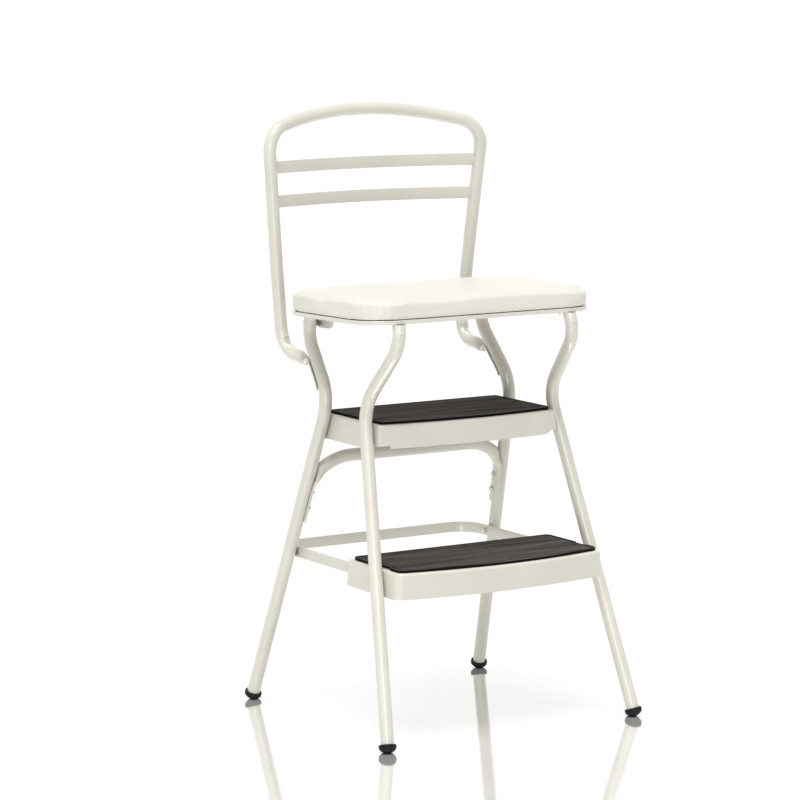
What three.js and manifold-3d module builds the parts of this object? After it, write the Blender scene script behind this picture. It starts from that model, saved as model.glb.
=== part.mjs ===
// A step stool chair: four bent tube legs with a narrow waist, two treads between them,
// a padded seat that lifts on a rear hinge, and a bent tube back with two slats.
// Millimetres, Z up. The front faces -Y, and +X is on the right of someone who faces the front.

import * as THREE from 'three';
import { mergeVertices } from 'three/addons/utils/BufferGeometryUtils.js';
import Module from 'manifold-3d';

const wasm = await Module();
wasm.setup();

// Tube stock, clearances and fineness
const tubeRadius = 9.5;
const tubeWall = 1.2;
const touchGap = 0.3;
const cutOverrun = 2;
const weldTolerance = 0.0005;
const tubeSides = 12;
const boreSides = 8;
const bendStep = THREE.MathUtils.degToRad(12);
const squarenessShare = 0.62;

// Legs: spread is the distance from the middle of the chair, forwards or backwards
const footSpread = 198.7;
const waistSpread = 49.3;
const waistHeight = 468.5;
const waistBend = 60;
const shoulderSpread = 128.5;
const shoulderRise = 94.4;
const shoulderHeight = waistHeight + shoulderRise;
const shoulderBend = 48;
const headSpread = 115;
const headRise = 37.1;
const headHeight = shoulderHeight + headRise;
const legTopRise = 24.1;
const legTopLevel = shoulderHeight + legTopRise;
const front = { name: 'front', facing: -1, footHalfWidth: 213.5, topHalfWidth: 146.5, cutRise: 27.7 };
const rear = { name: 'rear', facing: 1, footHalfWidth: 203.6, topHalfWidth: 148.3, cutRise: 18.6 };
const ends = [front, rear];
const sides = [{ name: 'left', sign: -1 }, { name: 'right', sign: 1 }];

// Foot caps
const capRadius = 12.5;
const capDome = 15;
const capHeight = 13.5;
const capFlat = 0.8;
const capFloor = 5;
const capChamfer = 1;
const capSides = 16;
const capSteps = 4;

// Seat: how far its edges are from the middle, and a top that leans back a little
const seatHalfWidth = 200;
const seatFront = 123.5;
const seatRear = 122;
const seatCorner = 54;
const seatRise = 7.6;
const seatLevel = legTopLevel + seatRise;
const seatLean = 0.022;
const panSheet = 1.5;
const panRim = 5.7;
const cushionHeight = 25;
const cushionCrown = 5;
const cushionDrawn = 1.4;
const cushionUnder = 1.2;
const cushionRoll = 9;
const cornerSteps = 7;
const sideSteps = 6;

// Seat hinge, bumpers and the bars under the seat
const hingeDrop = 25.1;
const hingeHeight = seatLevel - hingeDrop;
const earGap = 9.4;
const earSheet = 2;
const earFront = 84;
const earBelow = 8;
const earBehind = 6;
const earCorner = 6;
const earFoot = 14;
const railThick = 4;
const railClear = 1;
const railFrontReach = 108;
const railFrontTall = 5.4;
const railRearReach = 114;
const railRearTall = 14;
const barDrop = 7.4;
const barTop = seatLevel - barDrop;
const barThick = 4;
const barHalfWide = 7;
const frontBarSpread = 46;
const rearBarSpread = 62;
const bumperRadius = 7;
const bumperOffset = 95;
const bumperBase = 1.6;

// Treads: tray of sheet, mat on top, with a bowed front edge
const traySheet = 1.2;
const matThick = 2.7;
const matLip = 3;
const matRecess = 0.8;
const upperTreadDrop = 25.5;
const upperTread = {
  name: 'upper', level: waistHeight - upperTreadDrop,
  front: 78, bow: 14, rear: 76, corner: 7, rearCorner: 5,
  apron: 36, sideApron: 33, tongue: 136, sideGap: 0.4, matMargin: 8, matCorner: 3,
};
const lowerTreadDrop = 223.5;
const lowerTread = {
  name: 'lower', level: waistHeight - lowerTreadDrop,
  front: 165, bow: 20, rear: -30, corner: 10, rearCorner: 3,
  apron: 38, sideApron: 38, tongue: 150, sideGap: 0.6, matMargin: 7.5, matCorner: 10,
};
const notchLength = 28;
const notchDepth = 4;
const bowSteps = 8;
const upperRivetDrop = 17;
const lowerRivetDrop = 19;

// Back: a bent tube whose pressed ends lie on the rear legs, and two slats
const tabHalfThick = 1.5;
const tabHalfWide = 8.8;
const tabEndRise = 7.5;
const tabScrewRises = { lower: 26.5, upper: 38.5 };
const tabBend = 24;
const pressLength = 26;
const pressDelay = 5;
const backFootSpread = 104;
const backFootRise = 47.5;
const backFootHeight = waistHeight + backFootRise;
const backHeelSpread = 184.4;
const backHeelRise = 7;
const backHeelHeight = backFootHeight + backHeelRise;
const backHeelBend = 38;
const backHeelHalfWidth = 156.8;
const backMidSpread = 180.9;
const backMidRise = 137;
const backMidHeight = backHeelHeight + backMidRise;
const backMidHalfWidth = 169.8;
const backMidBend = 1500;
const backTopSpread = 170.8;
const backTopRise = 187;
const backTopHeight = backMidHeight + backTopRise;
const backTopHalfWidth = 187.8;
const backTopBend = 38;
const crestRise = 26.4;
const crestSpread = 212.5;
const crestDrop = 18;
const crestBow = 27;
const crestHalfSpan = 150;
const crestSteps = 10;
const slatTall = 18;
const slatThick = 1.8;
const slatBow = 30;
const slatDrops = { upper: 53.2, lower: 103.5 };
const slatSteps = 16;

// Arched brace between the rear legs
const braceDrop = 66.7;
const braceTop = upperTread.level - braceDrop;
const braceBend = 73;
const braceBendHalfSpan = 103;
const braceTabHalfThick = 1.75;
const braceTabHalfWide = 9;
const braceLength = 96.3;
const braceScrewDrops = { upper: 51.8, lower: 75.8 };

// Strap behind the rear legs
const strapThick = 3;
const strapTall = 16;
const strapDrop = 5.9;
const strapTop = lowerTread.level - strapDrop;
const strapGap = 3.2;
const strapNutDome = 7.5;
const strapSpacerRadius = 4.5;
const strapRear = 177;
const strapCorner = 37;
const strapFront = 62;
const strapRivetSpread = 48;

// Screws, rivets and hinge bolts
const shankRadius = 2.4;
const screwHead = 3.6;
const screwDome = 3.8;
const rivetDome = 1.6;
const screwGrip = 3;
const headSides = 10;
const domeSteps = 2;
const hingeShank = 3;
const hingeHead = 6;
const hingeDome = 3.5;
const spacerRadius = 5;

const paint = { color: 0xdedcd1, roughness: 0.35, metalness: 0.1 };
const vinyl = { color: 0xe2e0d6, roughness: 0.5, metalness: 0 };
const matRubber = { color: 0x413c38, roughness: 0.75, metalness: 0 };
const capRubber = { color: 0x151515, roughness: 0.6, metalness: 0 };
const brightSteel = { color: 0xc9c9c6, roughness: 0.25, metalness: 1 };

// Solids from geometries, and back

function solidOf(geometry) {
  const bare = geometry.clone();
  bare.deleteAttribute('normal');
  bare.deleteAttribute('uv');
  const welded = mergeVertices(bare, weldTolerance);
  const vertProperties = Float32Array.from(welded.attributes.position.array);
  const triVerts = Uint32Array.from(welded.index.array);
  return new wasm.Manifold(new wasm.Mesh({ numProp: 3, vertProperties, triVerts }));
}

function geometryOf(solid) {
  const mesh = solid.getMesh();
  const geometry = new THREE.BufferGeometry();
  geometry.setAttribute('position', new THREE.BufferAttribute(Float32Array.from(mesh.vertProperties), 3));
  geometry.setIndex(new THREE.BufferAttribute(Uint32Array.from(mesh.triVerts), 1));
  geometry.computeVertexNormals();
  return geometry;
}

function piece(name, solid, look) {
  const mesh = new THREE.Mesh(geometryOf(solid), new THREE.MeshStandardMaterial(look));
  mesh.name = name;
  return mesh;
}

// A box between two corners
function block(low, high) {
  const size = high.clone().sub(low);
  const middle = low.clone().add(high).multiplyScalar(0.5);
  const box = new THREE.BoxGeometry(size.x, size.y, size.z);
  return solidOf(box.translate(middle.x, middle.y, middle.z));
}

// A turned solid whose profile axis runs from `at` along `along`
function turned(profile, segments, at, along) {
  const lathe = new THREE.LatheGeometry(profile, segments);
  const up = new THREE.Vector3(0, 1, 0);
  lathe.applyQuaternion(new THREE.Quaternion().setFromUnitVectors(up, along));
  return solidOf(lathe.translate(at.x, at.y, at.z));
}

function rod(at, along, radius, length, segments) {
  const profile = [
    new THREE.Vector2(0, 0),
    new THREE.Vector2(radius, 0),
    new THREE.Vector2(radius, length),
    new THREE.Vector2(0, length),
  ];
  return turned(profile, segments, at, along);
}

// Routes: corners with a bend radius become arcs, corners without one stay points

function roundedRoute(corners) {
  const stations = [corners[0].at];
  for (let i = 1; i < corners.length - 1; i += 1) {
    const { at, bend } = corners[i];
    if (!bend) {
      stations.push(at);
      continue;
    }
    const into = at.clone().sub(corners[i - 1].at).normalize();
    const away = corners[i + 1].at.clone().sub(at).normalize();
    const turn = into.angleTo(away);
    const start = at.clone().addScaledVector(into, -bend * Math.tan(turn / 2));
    const inwards = away.clone().sub(into).normalize();
    const centre = at.clone().addScaledVector(inwards, bend / Math.cos(turn / 2));
    const axis = new THREE.Vector3().crossVectors(into, away).normalize();
    const steps = Math.ceil(turn / bendStep);
    for (let k = 0; k <= steps; k += 1) {
      const spoke = start.clone().sub(centre).applyAxisAngle(axis, turn * k / steps);
      stations.push(spoke.add(centre));
    }
  }
  stations.push(corners[corners.length - 1].at);
  return stations;
}

function headingAt(stations, i) {
  const heading = new THREE.Vector3();
  if (i > 0) heading.add(stations[i].clone().sub(stations[i - 1]).normalize());
  if (i < stations.length - 1) heading.add(stations[i + 1].clone().sub(stations[i]).normalize());
  return heading.normalize();
}

// A curve that passes its stations one by one, so each bend gets its own steps
class StationCurve extends THREE.Curve {
  constructor(stations) {
    super();
    this.stations = stations;
  }

  getPointAt(share, target = new THREE.Vector3()) {
    return target.copy(this.stations[Math.round(share * (this.stations.length - 1))]);
  }

  getTangentAt(share, target = new THREE.Vector3()) {
    return target.copy(headingAt(this.stations, Math.round(share * (this.stations.length - 1))));
  }
}

function circle(radius, count) {
  const points = [];
  for (let i = 0; i < count; i += 1) {
    const angle = 2 * Math.PI * i / count;
    points.push(new THREE.Vector2(radius * Math.cos(angle), radius * Math.sin(angle)));
  }
  return points;
}

function roundTube(stations) {
  const section = new THREE.Shape(circle(tubeRadius, tubeSides));
  section.holes.push(new THREE.Path(circle(tubeRadius - tubeWall, boreSides)));
  const extrudePath = new StationCurve(stations);
  return solidOf(new THREE.ExtrudeGeometry(section, { steps: stations.length - 1, extrudePath }));
}

// Skin over a list of loops of equal count; it closes on itself, or has a flat cap at each end
function skin(loops, closed) {
  const count = loops[0].length;
  const position = loops.flat().flatMap((point) => [point.x, point.y, point.z]);
  const index = [];
  const bands = closed ? loops.length : loops.length - 1;
  for (let k = 0; k < bands; k += 1) {
    const next = (k + 1) % loops.length;
    for (let i = 0; i < count; i += 1) {
      const j = (i + 1) % count;
      index.push(k * count + i, k * count + j, next * count + i);
      index.push(k * count + j, next * count + j, next * count + i);
    }
  }
  if (!closed) {
    const last = (loops.length - 1) * count;
    for (let i = 1; i < count - 1; i += 1) {
      index.push(0, i + 1, i);
      index.push(last, last + i, last + i + 1);
    }
  }
  const geometry = new THREE.BufferGeometry();
  geometry.setAttribute('position', new THREE.Float32BufferAttribute(position, 3));
  geometry.setIndex(index);
  return geometry;
}

// A tube that is pressed flat along parts of its route. Each station has its place, the direction
// of its thickness, half its thickness and half its width.
function pressedTube(stations) {
  const outer = [];
  const inner = [];
  const places = stations.map((station) => station.at);
  stations.forEach(({ at, across, thin, broad }, i) => {
    const wide = new THREE.Vector3().crossVectors(headingAt(places, i), across).normalize();
    const power = 1 - squarenessShare * (1 - thin / tubeRadius);
    const loop = (halfThick, halfWide) => circle(1, tubeSides).map(({ x, y }) => at.clone()
      .addScaledVector(across, Math.sign(x) * halfThick * Math.abs(x) ** power)
      .addScaledVector(wide, Math.sign(y) * halfWide * Math.abs(y) ** power));
    outer.push(loop(thin, broad));
    inner.push(loop(thin - tubeWall, broad - tubeWall));
  });
  return solidOf(skin([...outer, ...inner.reverse()], true));
}

// A direction carried along a route without twist, starting from `first`
function carried(places, first) {
  const across = first.clone();
  return places.map((place, i) => {
    const heading = headingAt(places, i);
    return across.addScaledVector(heading, -across.dot(heading)).normalize().clone();
  });
}

// Leg places

function legHalfWidth(end, height) {
  return THREE.MathUtils.lerp(end.footHalfWidth, end.topHalfWidth, height / legTopLevel);
}

function legPoint(end, side, spread, height) {
  return new THREE.Vector3(side.sign * legHalfWidth(end, height), end.facing * spread, height);
}

function legRoute(end, side) {
  const foot = legPoint(end, side, footSpread, 0);
  const waist = legPoint(end, side, waistSpread, waistHeight);
  const upwards = waist.clone().sub(foot).normalize();
  const capCentre = foot.clone().addScaledVector(upwards, (capDome - capFlat) / upwards.z);
  const start = capCentre.clone().addScaledVector(upwards, capFloor + touchGap - capDome);
  const corners = [
    { at: start },
    { at: waist, bend: waistBend },
    { at: legPoint(end, side, shoulderSpread, shoulderHeight), bend: shoulderBend },
    { at: legPoint(end, side, headSpread, headHeight) },
  ];
  return { stations: roundedRoute(corners), capCentre, upwards };
}

// The place and heading on a leg's centre line at a height
function legAt(end, side, height) {
  const { stations } = legRoute(end, side);
  const above = stations.findIndex((station) => station.z > height);
  const low = stations[above - 1];
  const high = stations[above];
  const at = low.clone().lerp(high, (height - low.z) / (high.z - low.z));
  return { at, heading: high.clone().sub(low).normalize() };
}

// Half the clear width between the left and right legs at a height
function clearHalfWidth(end, height) {
  const lean = (end.footHalfWidth - end.topHalfWidth) / legTopLevel;
  return legHalfWidth(end, height) - tubeRadius * Math.hypot(1, lean);
}

function treadLean() {
  return (rear.footHalfWidth - rear.topHalfWidth) / legTopLevel;
}

function treadHalfWidth(tread) {
  const narrowest = tread === upperTread
    ? Math.min(clearHalfWidth(front, tread.level), clearHalfWidth(rear, tread.level))
    : clearHalfWidth(front, tread.level);
  return narrowest - tread.sideGap;
}

// Fixings: `seat` lies under the head, and `along` points from the head to the tip

function fixing(name, seat, along, length, through, dome) {
  return { name, seat, along: along.clone().normalize(), length, through, dome };
}

function trayFixing(tread, end, side, drop) {
  const height = tread.level - drop;
  const lean = treadLean();
  const wallX = treadHalfWidth(tread) + lean * drop - traySheet - touchGap;
  const seat = new THREE.Vector3(side.sign * wallX, legAt(end, side, height).at.y, height);
  const along = new THREE.Vector3(side.sign, 0, lean);
  const reach = clearHalfWidth(end, height) - wallX + tubeWall + screwGrip;
  const name = `${tread.name}_tread_rivet_${end.name}_${side.name}`;
  const through = [`${tread.name}_tread_tray`, `${end.name}_leg_${side.name}`];
  return fixing(name, seat, along, reach, through, rivetDome);
}

function braceFixing(side, height, place) {
  const { at, heading } = legAt(rear, side, height);
  const along = new THREE.Vector3(side.sign, 0, 0);
  along.addScaledVector(heading, -along.dot(heading)).normalize();
  const seat = at.addScaledVector(along, -(tubeRadius + 2 * braceTabHalfThick + 2 * touchGap));
  const reach = 2 * braceTabHalfThick + tubeWall + screwGrip;
  const through = ['arched_brace', `rear_leg_${side.name}`];
  return fixing(`brace_screw_${place}_${side.name}`, seat, along, reach, through, screwDome);
}

// Outer face of the lower tray's side at the height of the strap's middle
function strapTrayFace() {
  return treadHalfWidth(lowerTread) + treadLean() * (lowerTread.level - strapTop + strapTall / 2);
}

function strapHalfWidth() {
  const height = strapTop - strapTall / 2;
  return Math.min(clearHalfWidth(rear, height), strapTrayFace() - traySheet) - strapGap;
}

function strapHead(side, y) {
  const x = side.sign * (strapHalfWidth() - strapThick - touchGap);
  return new THREE.Vector3(x, y, strapTop - strapTall / 2);
}

function strapFixing(side) {
  const height = strapTop - strapTall / 2;
  const seat = strapHead(side, legAt(rear, side, height).at.y);
  const reach = clearHalfWidth(rear, height) - Math.abs(seat.x) + tubeWall + screwGrip;
  const along = new THREE.Vector3(side.sign, 0, 0);
  const through = ['rear_strap', `rear_leg_${side.name}`];
  return fixing(`strap_screw_${side.name}`, seat, along, reach, through, strapNutDome);
}

function strapTrayFixing(side) {
  const seat = strapHead(side, -strapRivetSpread);
  const along = new THREE.Vector3(side.sign, 0, 0);
  const through = ['rear_strap', 'lower_tread_tray'];
  const reach = strapTrayFace() - Math.abs(seat.x);
  return fixing(`strap_rivet_${side.name}`, seat, along, reach, through, rivetDome);
}

function tabFixing(side, height, place) {
  const { at, heading } = legAt(rear, side, height);
  const across = new THREE.Vector3(1, 0, 0);
  const behind = new THREE.Vector3().crossVectors(heading, across).normalize();
  const seat = at.addScaledVector(behind, tubeRadius + 2 * tabHalfThick + 2 * touchGap);
  const reach = 2 * tabHalfThick + tubeWall + screwGrip;
  const through = ['back_tube', `rear_leg_${side.name}`];
  const along = behind.multiplyScalar(-1);
  return fixing(`back_screw_${place}_${side.name}`, seat, along, reach, through, rivetDome);
}

const smallFixings = sides.flatMap((side) => [
  ...ends.map((end) => trayFixing(upperTread, end, side, upperRivetDrop)),
  trayFixing(lowerTread, front, side, lowerRivetDrop),
  ...Object.entries(braceScrewDrops).map(([place, drop]) => braceFixing(side, braceTop - drop, place)),
  strapFixing(side),
  strapTrayFixing(side),
  ...Object.entries(tabScrewRises).map(([place, rise]) => tabFixing(side, waistHeight + rise, place)),
]);

function drilled(name, solid) {
  return smallFixings.filter((each) => each.through.includes(name)).reduce((left, each) => {
    const mouth = each.seat.clone().addScaledVector(each.along, -touchGap);
    const depth = each.length + 2 * touchGap;
    return left.subtract(rod(mouth, each.along, shankRadius + touchGap, depth, boreSides));
  }, solid);
}

// A domed head with its shank, as one turned piece
function domedPin(at, along, length, shank, head, dome) {
  const profile = [new THREE.Vector2(0, -dome)];
  for (let k = 1; k <= domeSteps; k += 1) {
    const angle = Math.PI / 2 * k / domeSteps;
    profile.push(new THREE.Vector2(head * Math.sin(angle), -dome * Math.cos(angle)));
  }
  profile.push(new THREE.Vector2(shank, 0));
  profile.push(new THREE.Vector2(shank, length));
  profile.push(new THREE.Vector2(0, length));
  return turned(profile, headSides, at, along);
}

function buildSmallFixings() {
  return smallFixings.map((each) => piece(
    each.name,
    domedPin(each.seat, each.along, each.length, shankRadius, screwHead, each.dome),
    brightSteel,
  ));
}

// Legs and their caps

function hingePoint() {
  return legAt(rear, sides[1], hingeHeight).at;
}

// The hole for the hinge bolt, in the inner wall of a rear leg only
function hingeHole(side) {
  const pivot = hingePoint();
  const middle = side.sign * legHalfWidth(rear, hingeHeight);
  const at = new THREE.Vector3(middle, pivot.y, pivot.z);
  const along = new THREE.Vector3(-side.sign, 0, 0);
  return rod(at, along, hingeShank + touchGap, 2 * tubeRadius, headSides);
}

function buildLeg(end, side) {
  const { stations } = legRoute(end, side);
  const reach = footSpread + capRadius;
  const low = new THREE.Vector3(-front.footHalfWidth, -reach, shoulderHeight + end.cutRise);
  const high = new THREE.Vector3(front.footHalfWidth, reach, headHeight + tubeRadius);
  let solid = roundTube(stations).subtract(block(low, high));
  if (end === rear) solid = solid.subtract(hingeHole(side));
  const name = `${end.name}_leg_${side.name}`;
  return piece(name, drilled(name, solid), paint);
}

function buildCap(end, side) {
  const { capCentre, upwards } = legRoute(end, side);
  const profile = [new THREE.Vector2(0, -capDome)];
  const edge = Math.asin(capRadius / capDome);
  for (let k = 1; k <= capSteps; k += 1) {
    const angle = edge * k / capSteps;
    profile.push(new THREE.Vector2(capDome * Math.sin(angle), -capDome * Math.cos(angle)));
  }
  const rim = capHeight - capDome;
  profile.push(new THREE.Vector2(capRadius, rim - capChamfer));
  profile.push(new THREE.Vector2(capRadius - capChamfer, rim));
  profile.push(new THREE.Vector2(tubeRadius + touchGap, rim));
  profile.push(new THREE.Vector2(tubeRadius + touchGap, capFloor - capDome));
  profile.push(new THREE.Vector2(0, capFloor - capDome));
  const dome = turned(profile, capSides, capCentre, upwards);
  const reach = new THREE.Vector3(2 * capRadius, 2 * capRadius, 0);
  const low = capCentre.clone().sub(reach).setZ(-2 * capDome);
  const high = capCentre.clone().add(reach).setZ(0);
  return piece(`${end.name}_foot_${side.name}`, dome.subtract(block(low, high)), capRubber);
}

// Bars under the seat

function railInner() {
  return Math.min(clearHalfWidth(front, barTop), clearHalfWidth(rear, barTop)) - touchGap - railThick;
}

function underPan(y) {
  return seatLevel - panSheet - seatLean * y;
}

// A tapered bar on edge, just under the leaning pan
function buildRail(side) {
  const frontTop = underPan(-railFrontReach) - railClear;
  const rearTop = underPan(railRearReach) - railClear;
  const shape = new THREE.Shape([
    new THREE.Vector2(-railFrontReach, frontTop - railFrontTall),
    new THREE.Vector2(railRearReach, rearTop - railRearTall),
    new THREE.Vector2(railRearReach, rearTop),
    new THREE.Vector2(-railFrontReach, frontTop),
  ]);
  const bar = new THREE.ExtrudeGeometry(shape, { depth: railThick, bevelEnabled: false });
  bar.rotateX(Math.PI / 2).rotateZ(Math.PI / 2);
  const start = side.sign > 0 ? railInner() : -railInner() - railThick;
  return piece(`top_rail_${side.name}`, solidOf(bar.translate(start, 0, 0)), paint);
}

function buildBar(name, spread) {
  const reach = railInner() - touchGap;
  const low = new THREE.Vector3(-reach, spread - barHalfWide, barTop - barThick);
  const high = new THREE.Vector3(reach, spread + barHalfWide, barTop);
  return piece(name, block(low, high), paint);
}

function buildBumper(side) {
  const tall = underPan(-frontBarSpread) - barTop - 2 * touchGap;
  const profile = [
    new THREE.Vector2(0, 0),
    new THREE.Vector2(bumperRadius, 0),
    new THREE.Vector2(bumperRadius, bumperBase),
    new THREE.Vector2(bumperRadius * Math.SQRT1_2, tall - bumperBase),
    new THREE.Vector2(0, tall),
  ];
  const at = new THREE.Vector3(side.sign * bumperOffset, -frontBarSpread, barTop + touchGap);
  const solid = turned(profile, headSides, at, new THREE.Vector3(0, 0, 1));
  return piece(`seat_bumper_${side.name}`, solid, capRubber);
}

// Treads

function treadOutline(halfWidth, frontEdge, rearEdge, bow, corner, rearCorner) {
  const corners = [{ at: new THREE.Vector3(0, rearEdge, 0) }];
  corners.push({ at: new THREE.Vector3(-halfWidth, rearEdge, 0), bend: rearCorner });
  for (let k = 0; k <= bowSteps; k += 1) {
    const share = 2 * k / bowSteps - 1;
    const y = -frontEdge - bow * (1 - share * share);
    const bend = k % bowSteps === 0 ? corner : 0;
    corners.push({ at: new THREE.Vector3(share * halfWidth, y, 0), bend });
  }
  corners.push({ at: new THREE.Vector3(halfWidth, rearEdge, 0), bend: rearCorner });
  corners.push({ at: new THREE.Vector3(0, rearEdge, 0) });
  return roundedRoute(corners).slice(1).map((point) => new THREE.Vector2(point.x, point.y));
}

// An outline made solid between two heights, its sides leaning outwards below `level`
function leaningPrism(outline, halfWidth, low, high, level) {
  const shape = new THREE.Shape(outline);
  const prism = new THREE.ExtrudeGeometry(shape, { depth: high - low, bevelEnabled: false });
  prism.translate(0, 0, low);
  const position = prism.attributes.position;
  for (let i = 0; i < position.count; i += 1) {
    const stretch = 1 + treadLean() * (level - position.getZ(i)) / halfWidth;
    position.setX(i, position.getX(i) * stretch);
  }
  return solidOf(prism);
}

function buildTray(tread) {
  const { name, level, bow, corner, rearCorner, apron, sideApron, tongue } = tread;
  const width = treadHalfWidth(tread);
  const outline = treadOutline(width, tread.front, tread.rear, bow, corner, rearCorner);
  const shell = leaningPrism(outline, width, level - apron, level, level);
  const inside = width - traySheet;
  const rearInside = tread === lowerTread ? tread.rear + cutOverrun : tread.rear - traySheet;
  const insideRearCorner = tread === lowerTread ? 0 : rearCorner - traySheet;
  const pocketOutline = treadOutline(
    inside, tread.front - traySheet, rearInside, bow, corner - traySheet, insideRearCorner,
  );
  const pocket = leaningPrism(pocketOutline, inside, level - apron - cutOverrun, level - traySheet, level);
  let solid = shell.subtract(pocket);
  const reach = width + apron;
  const bottom = level - apron - cutOverrun;
  const sideBottom = level - sideApron;
  const behind = new THREE.Vector3(-reach, -tread.front + corner, bottom);
  if (sideApron < apron) {
    solid = solid.subtract(block(behind, new THREE.Vector3(reach, tread.rear + cutOverrun, sideBottom)));
    sides.forEach((side) => {
      const across = [side.sign * tongue, side.sign * reach];
      const low = new THREE.Vector3(Math.min(...across), -tread.front - bow, bottom);
      const high = new THREE.Vector3(Math.max(...across), behind.y + cutOverrun, sideBottom);
      solid = solid.subtract(block(low, high));
    });
  }
  const node = `${name}_tread_tray`;
  return piece(node, drilled(node, solid), paint);
}

function buildMat(tread) {
  const { name, level, bow, matMargin, matCorner } = tread;
  const width = treadHalfWidth(tread) - matMargin;
  const frontEdge = tread.front - matMargin;
  const rearEdge = tread.rear - matMargin;
  const low = level + touchGap;
  const high = low + matThick;
  const flat = (outline, from, to) => solidOf(new THREE.ExtrudeGeometry(
    new THREE.Shape(outline), { depth: to - from, bevelEnabled: false },
  ).translate(0, 0, from));
  const body = flat(treadOutline(width, frontEdge, rearEdge, bow, matCorner, matCorner), low, high);
  const inside = width - matLip - notchOf(tread);
  const recess = flat(
    treadOutline(inside, frontEdge - matLip, rearEdge - matLip, bow, matCorner, matCorner),
    high - matRecess,
    high + cutOverrun,
  );
  let solid = body.subtract(recess);
  if (tread === lowerTread) {
    sides.forEach((side) => {
      const middle = legAt(front, side, level).at.y;
      const near = side.sign * (width - notchDepth);
      const far = side.sign * (width + cutOverrun);
      const from = new THREE.Vector3(Math.min(near, far), middle - notchLength / 2, low - cutOverrun);
      const to = new THREE.Vector3(Math.max(near, far), middle + notchLength / 2, high + cutOverrun);
      solid = solid.subtract(block(from, to));
    });
  }
  return piece(`${name}_tread_mat`, solid, matRubber);
}

function notchOf(tread) {
  return tread === lowerTread ? notchDepth : 0;
}

// Rear strap: a flat bar bent round behind the rear legs

function buildStrap() {
  const outer = strapHalfWidth();
  const loop = (halfWidth, back, bend) => roundedRoute([
    { at: new THREE.Vector3(halfWidth, -strapFront, 0) },
    { at: new THREE.Vector3(halfWidth, back, 0), bend },
    { at: new THREE.Vector3(-halfWidth, back, 0), bend },
    { at: new THREE.Vector3(-halfWidth, -strapFront, 0) },
  ]);
  const outside = loop(outer, strapRear, strapCorner);
  const inside = loop(outer - strapThick, strapRear - strapThick, strapCorner - strapThick).reverse();
  const shape = new THREE.Shape([...outside, ...inside].map((point) => new THREE.Vector2(point.x, point.y)));
  const bar = new THREE.ExtrudeGeometry(shape, { depth: strapTall, bevelEnabled: false });
  const solid = solidOf(bar.translate(0, 0, strapTop - strapTall));
  return piece('rear_strap', drilled('rear_strap', solid), paint);
}

// Arched brace: its bend is pressed flat where it would run into the leg

function buildBrace() {
  const foot = legPoint(rear, sides[1], footSpread, 0);
  const waist = legPoint(rear, sides[1], waistSpread, waistHeight);
  const slope = (foot.y - waist.y) / waistHeight;
  const stretch = Math.hypot(1, slope);
  const place = (x, up) => new THREE.Vector3(x, foot.y - slope * up / stretch, up / stretch);
  const lean = (foot.x - waist.x) / (waistHeight * stretch);
  const wallFoot = foot.x - (tubeRadius + touchGap) * Math.hypot(1, lean);
  const centreUp = braceTop * stretch - braceBend;
  const toWall = (angle) => (wallFoot - lean * centreUp - braceBendHalfSpan)
    / (Math.cos(angle) + lean * Math.sin(angle));
  const innerRadius = braceBend - tubeRadius;
  const half = [];
  for (let angle = Math.PI / 2; angle > 0; angle -= bendStep) {
    const outerRadius = Math.min(braceBend + tubeRadius, toWall(angle));
    if (outerRadius - innerRadius < 2 * braceTabHalfThick) break;
    const thin = (outerRadius - innerRadius) / 2;
    const middle = (outerRadius + innerRadius) / 2;
    const at = place(braceBendHalfSpan + middle * Math.cos(angle), centreUp + middle * Math.sin(angle));
    const across = place(Math.cos(angle), Math.sin(angle)).sub(place(0, 0));
    half.push({ at, across, thin, broad: broadOf(thin) });
  }
  const tabMiddle = braceTabHalfThick * Math.hypot(1, lean);
  const tabAcross = place(1, lean).sub(place(0, 0)).normalize();
  const tabStart = half[half.length - 1].at.z - braceTabHalfWide;
  [tabStart, braceTop - braceLength].forEach((height) => {
    const at = place(wallFoot - tabMiddle - lean * height * stretch, height * stretch);
    half.push({ at, across: tabAcross, thin: braceTabHalfThick, broad: braceTabHalfWide });
  });
  const mirror = new THREE.Vector3(-1, 1, 1);
  const mirrored = half.map(({ at, across, thin, broad }) => (
    { at: at.clone().multiply(mirror), across: across.clone().multiply(mirror), thin, broad }));
  const solid = pressedTube([...mirrored.reverse(), ...half]);
  return piece('arched_brace', drilled('arched_brace', solid), paint);
}

function broadOf(thin) {
  const round = (thin - braceTabHalfThick) / (tubeRadius - braceTabHalfThick);
  return THREE.MathUtils.lerp(braceTabHalfWide, tubeRadius, round);
}

// Back tube

function backSideCorners(side) {
  const offset = tubeRadius + touchGap + tabHalfThick;
  const spreadRise = (shoulderSpread - waistSpread) / (shoulderHeight - waistHeight);
  const lowerRise = (waistSpread - footSpread) / waistHeight;
  const tabOn = (rise, height) => waistSpread + rise * (height - waistHeight) + offset * Math.hypot(1, rise);
  const cornerHeight = waistHeight + offset
    * (Math.hypot(1, lowerRise) - Math.hypot(1, spreadRise)) / (spreadRise - lowerRise);
  const at = (halfWidth, spread, height) => new THREE.Vector3(side.sign * halfWidth, spread, height);
  const onLeg = (rise, height) => at(legHalfWidth(rear, height), tabOn(rise, height), height);
  return [
    { at: onLeg(lowerRise, waistHeight - 2 * waistBend) },
    { at: onLeg(spreadRise, cornerHeight), bend: waistBend - offset },
    { at: at(legHalfWidth(rear, backFootHeight), backFootSpread, backFootHeight), bend: tabBend },
    { at: at(backHeelHalfWidth, backHeelSpread, backHeelHeight), bend: backHeelBend },
    { at: at(backMidHalfWidth, backMidSpread, backMidHeight), bend: backMidBend },
    { at: at(backTopHalfWidth, backTopSpread, backTopHeight), bend: backTopBend },
  ];
}

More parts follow.
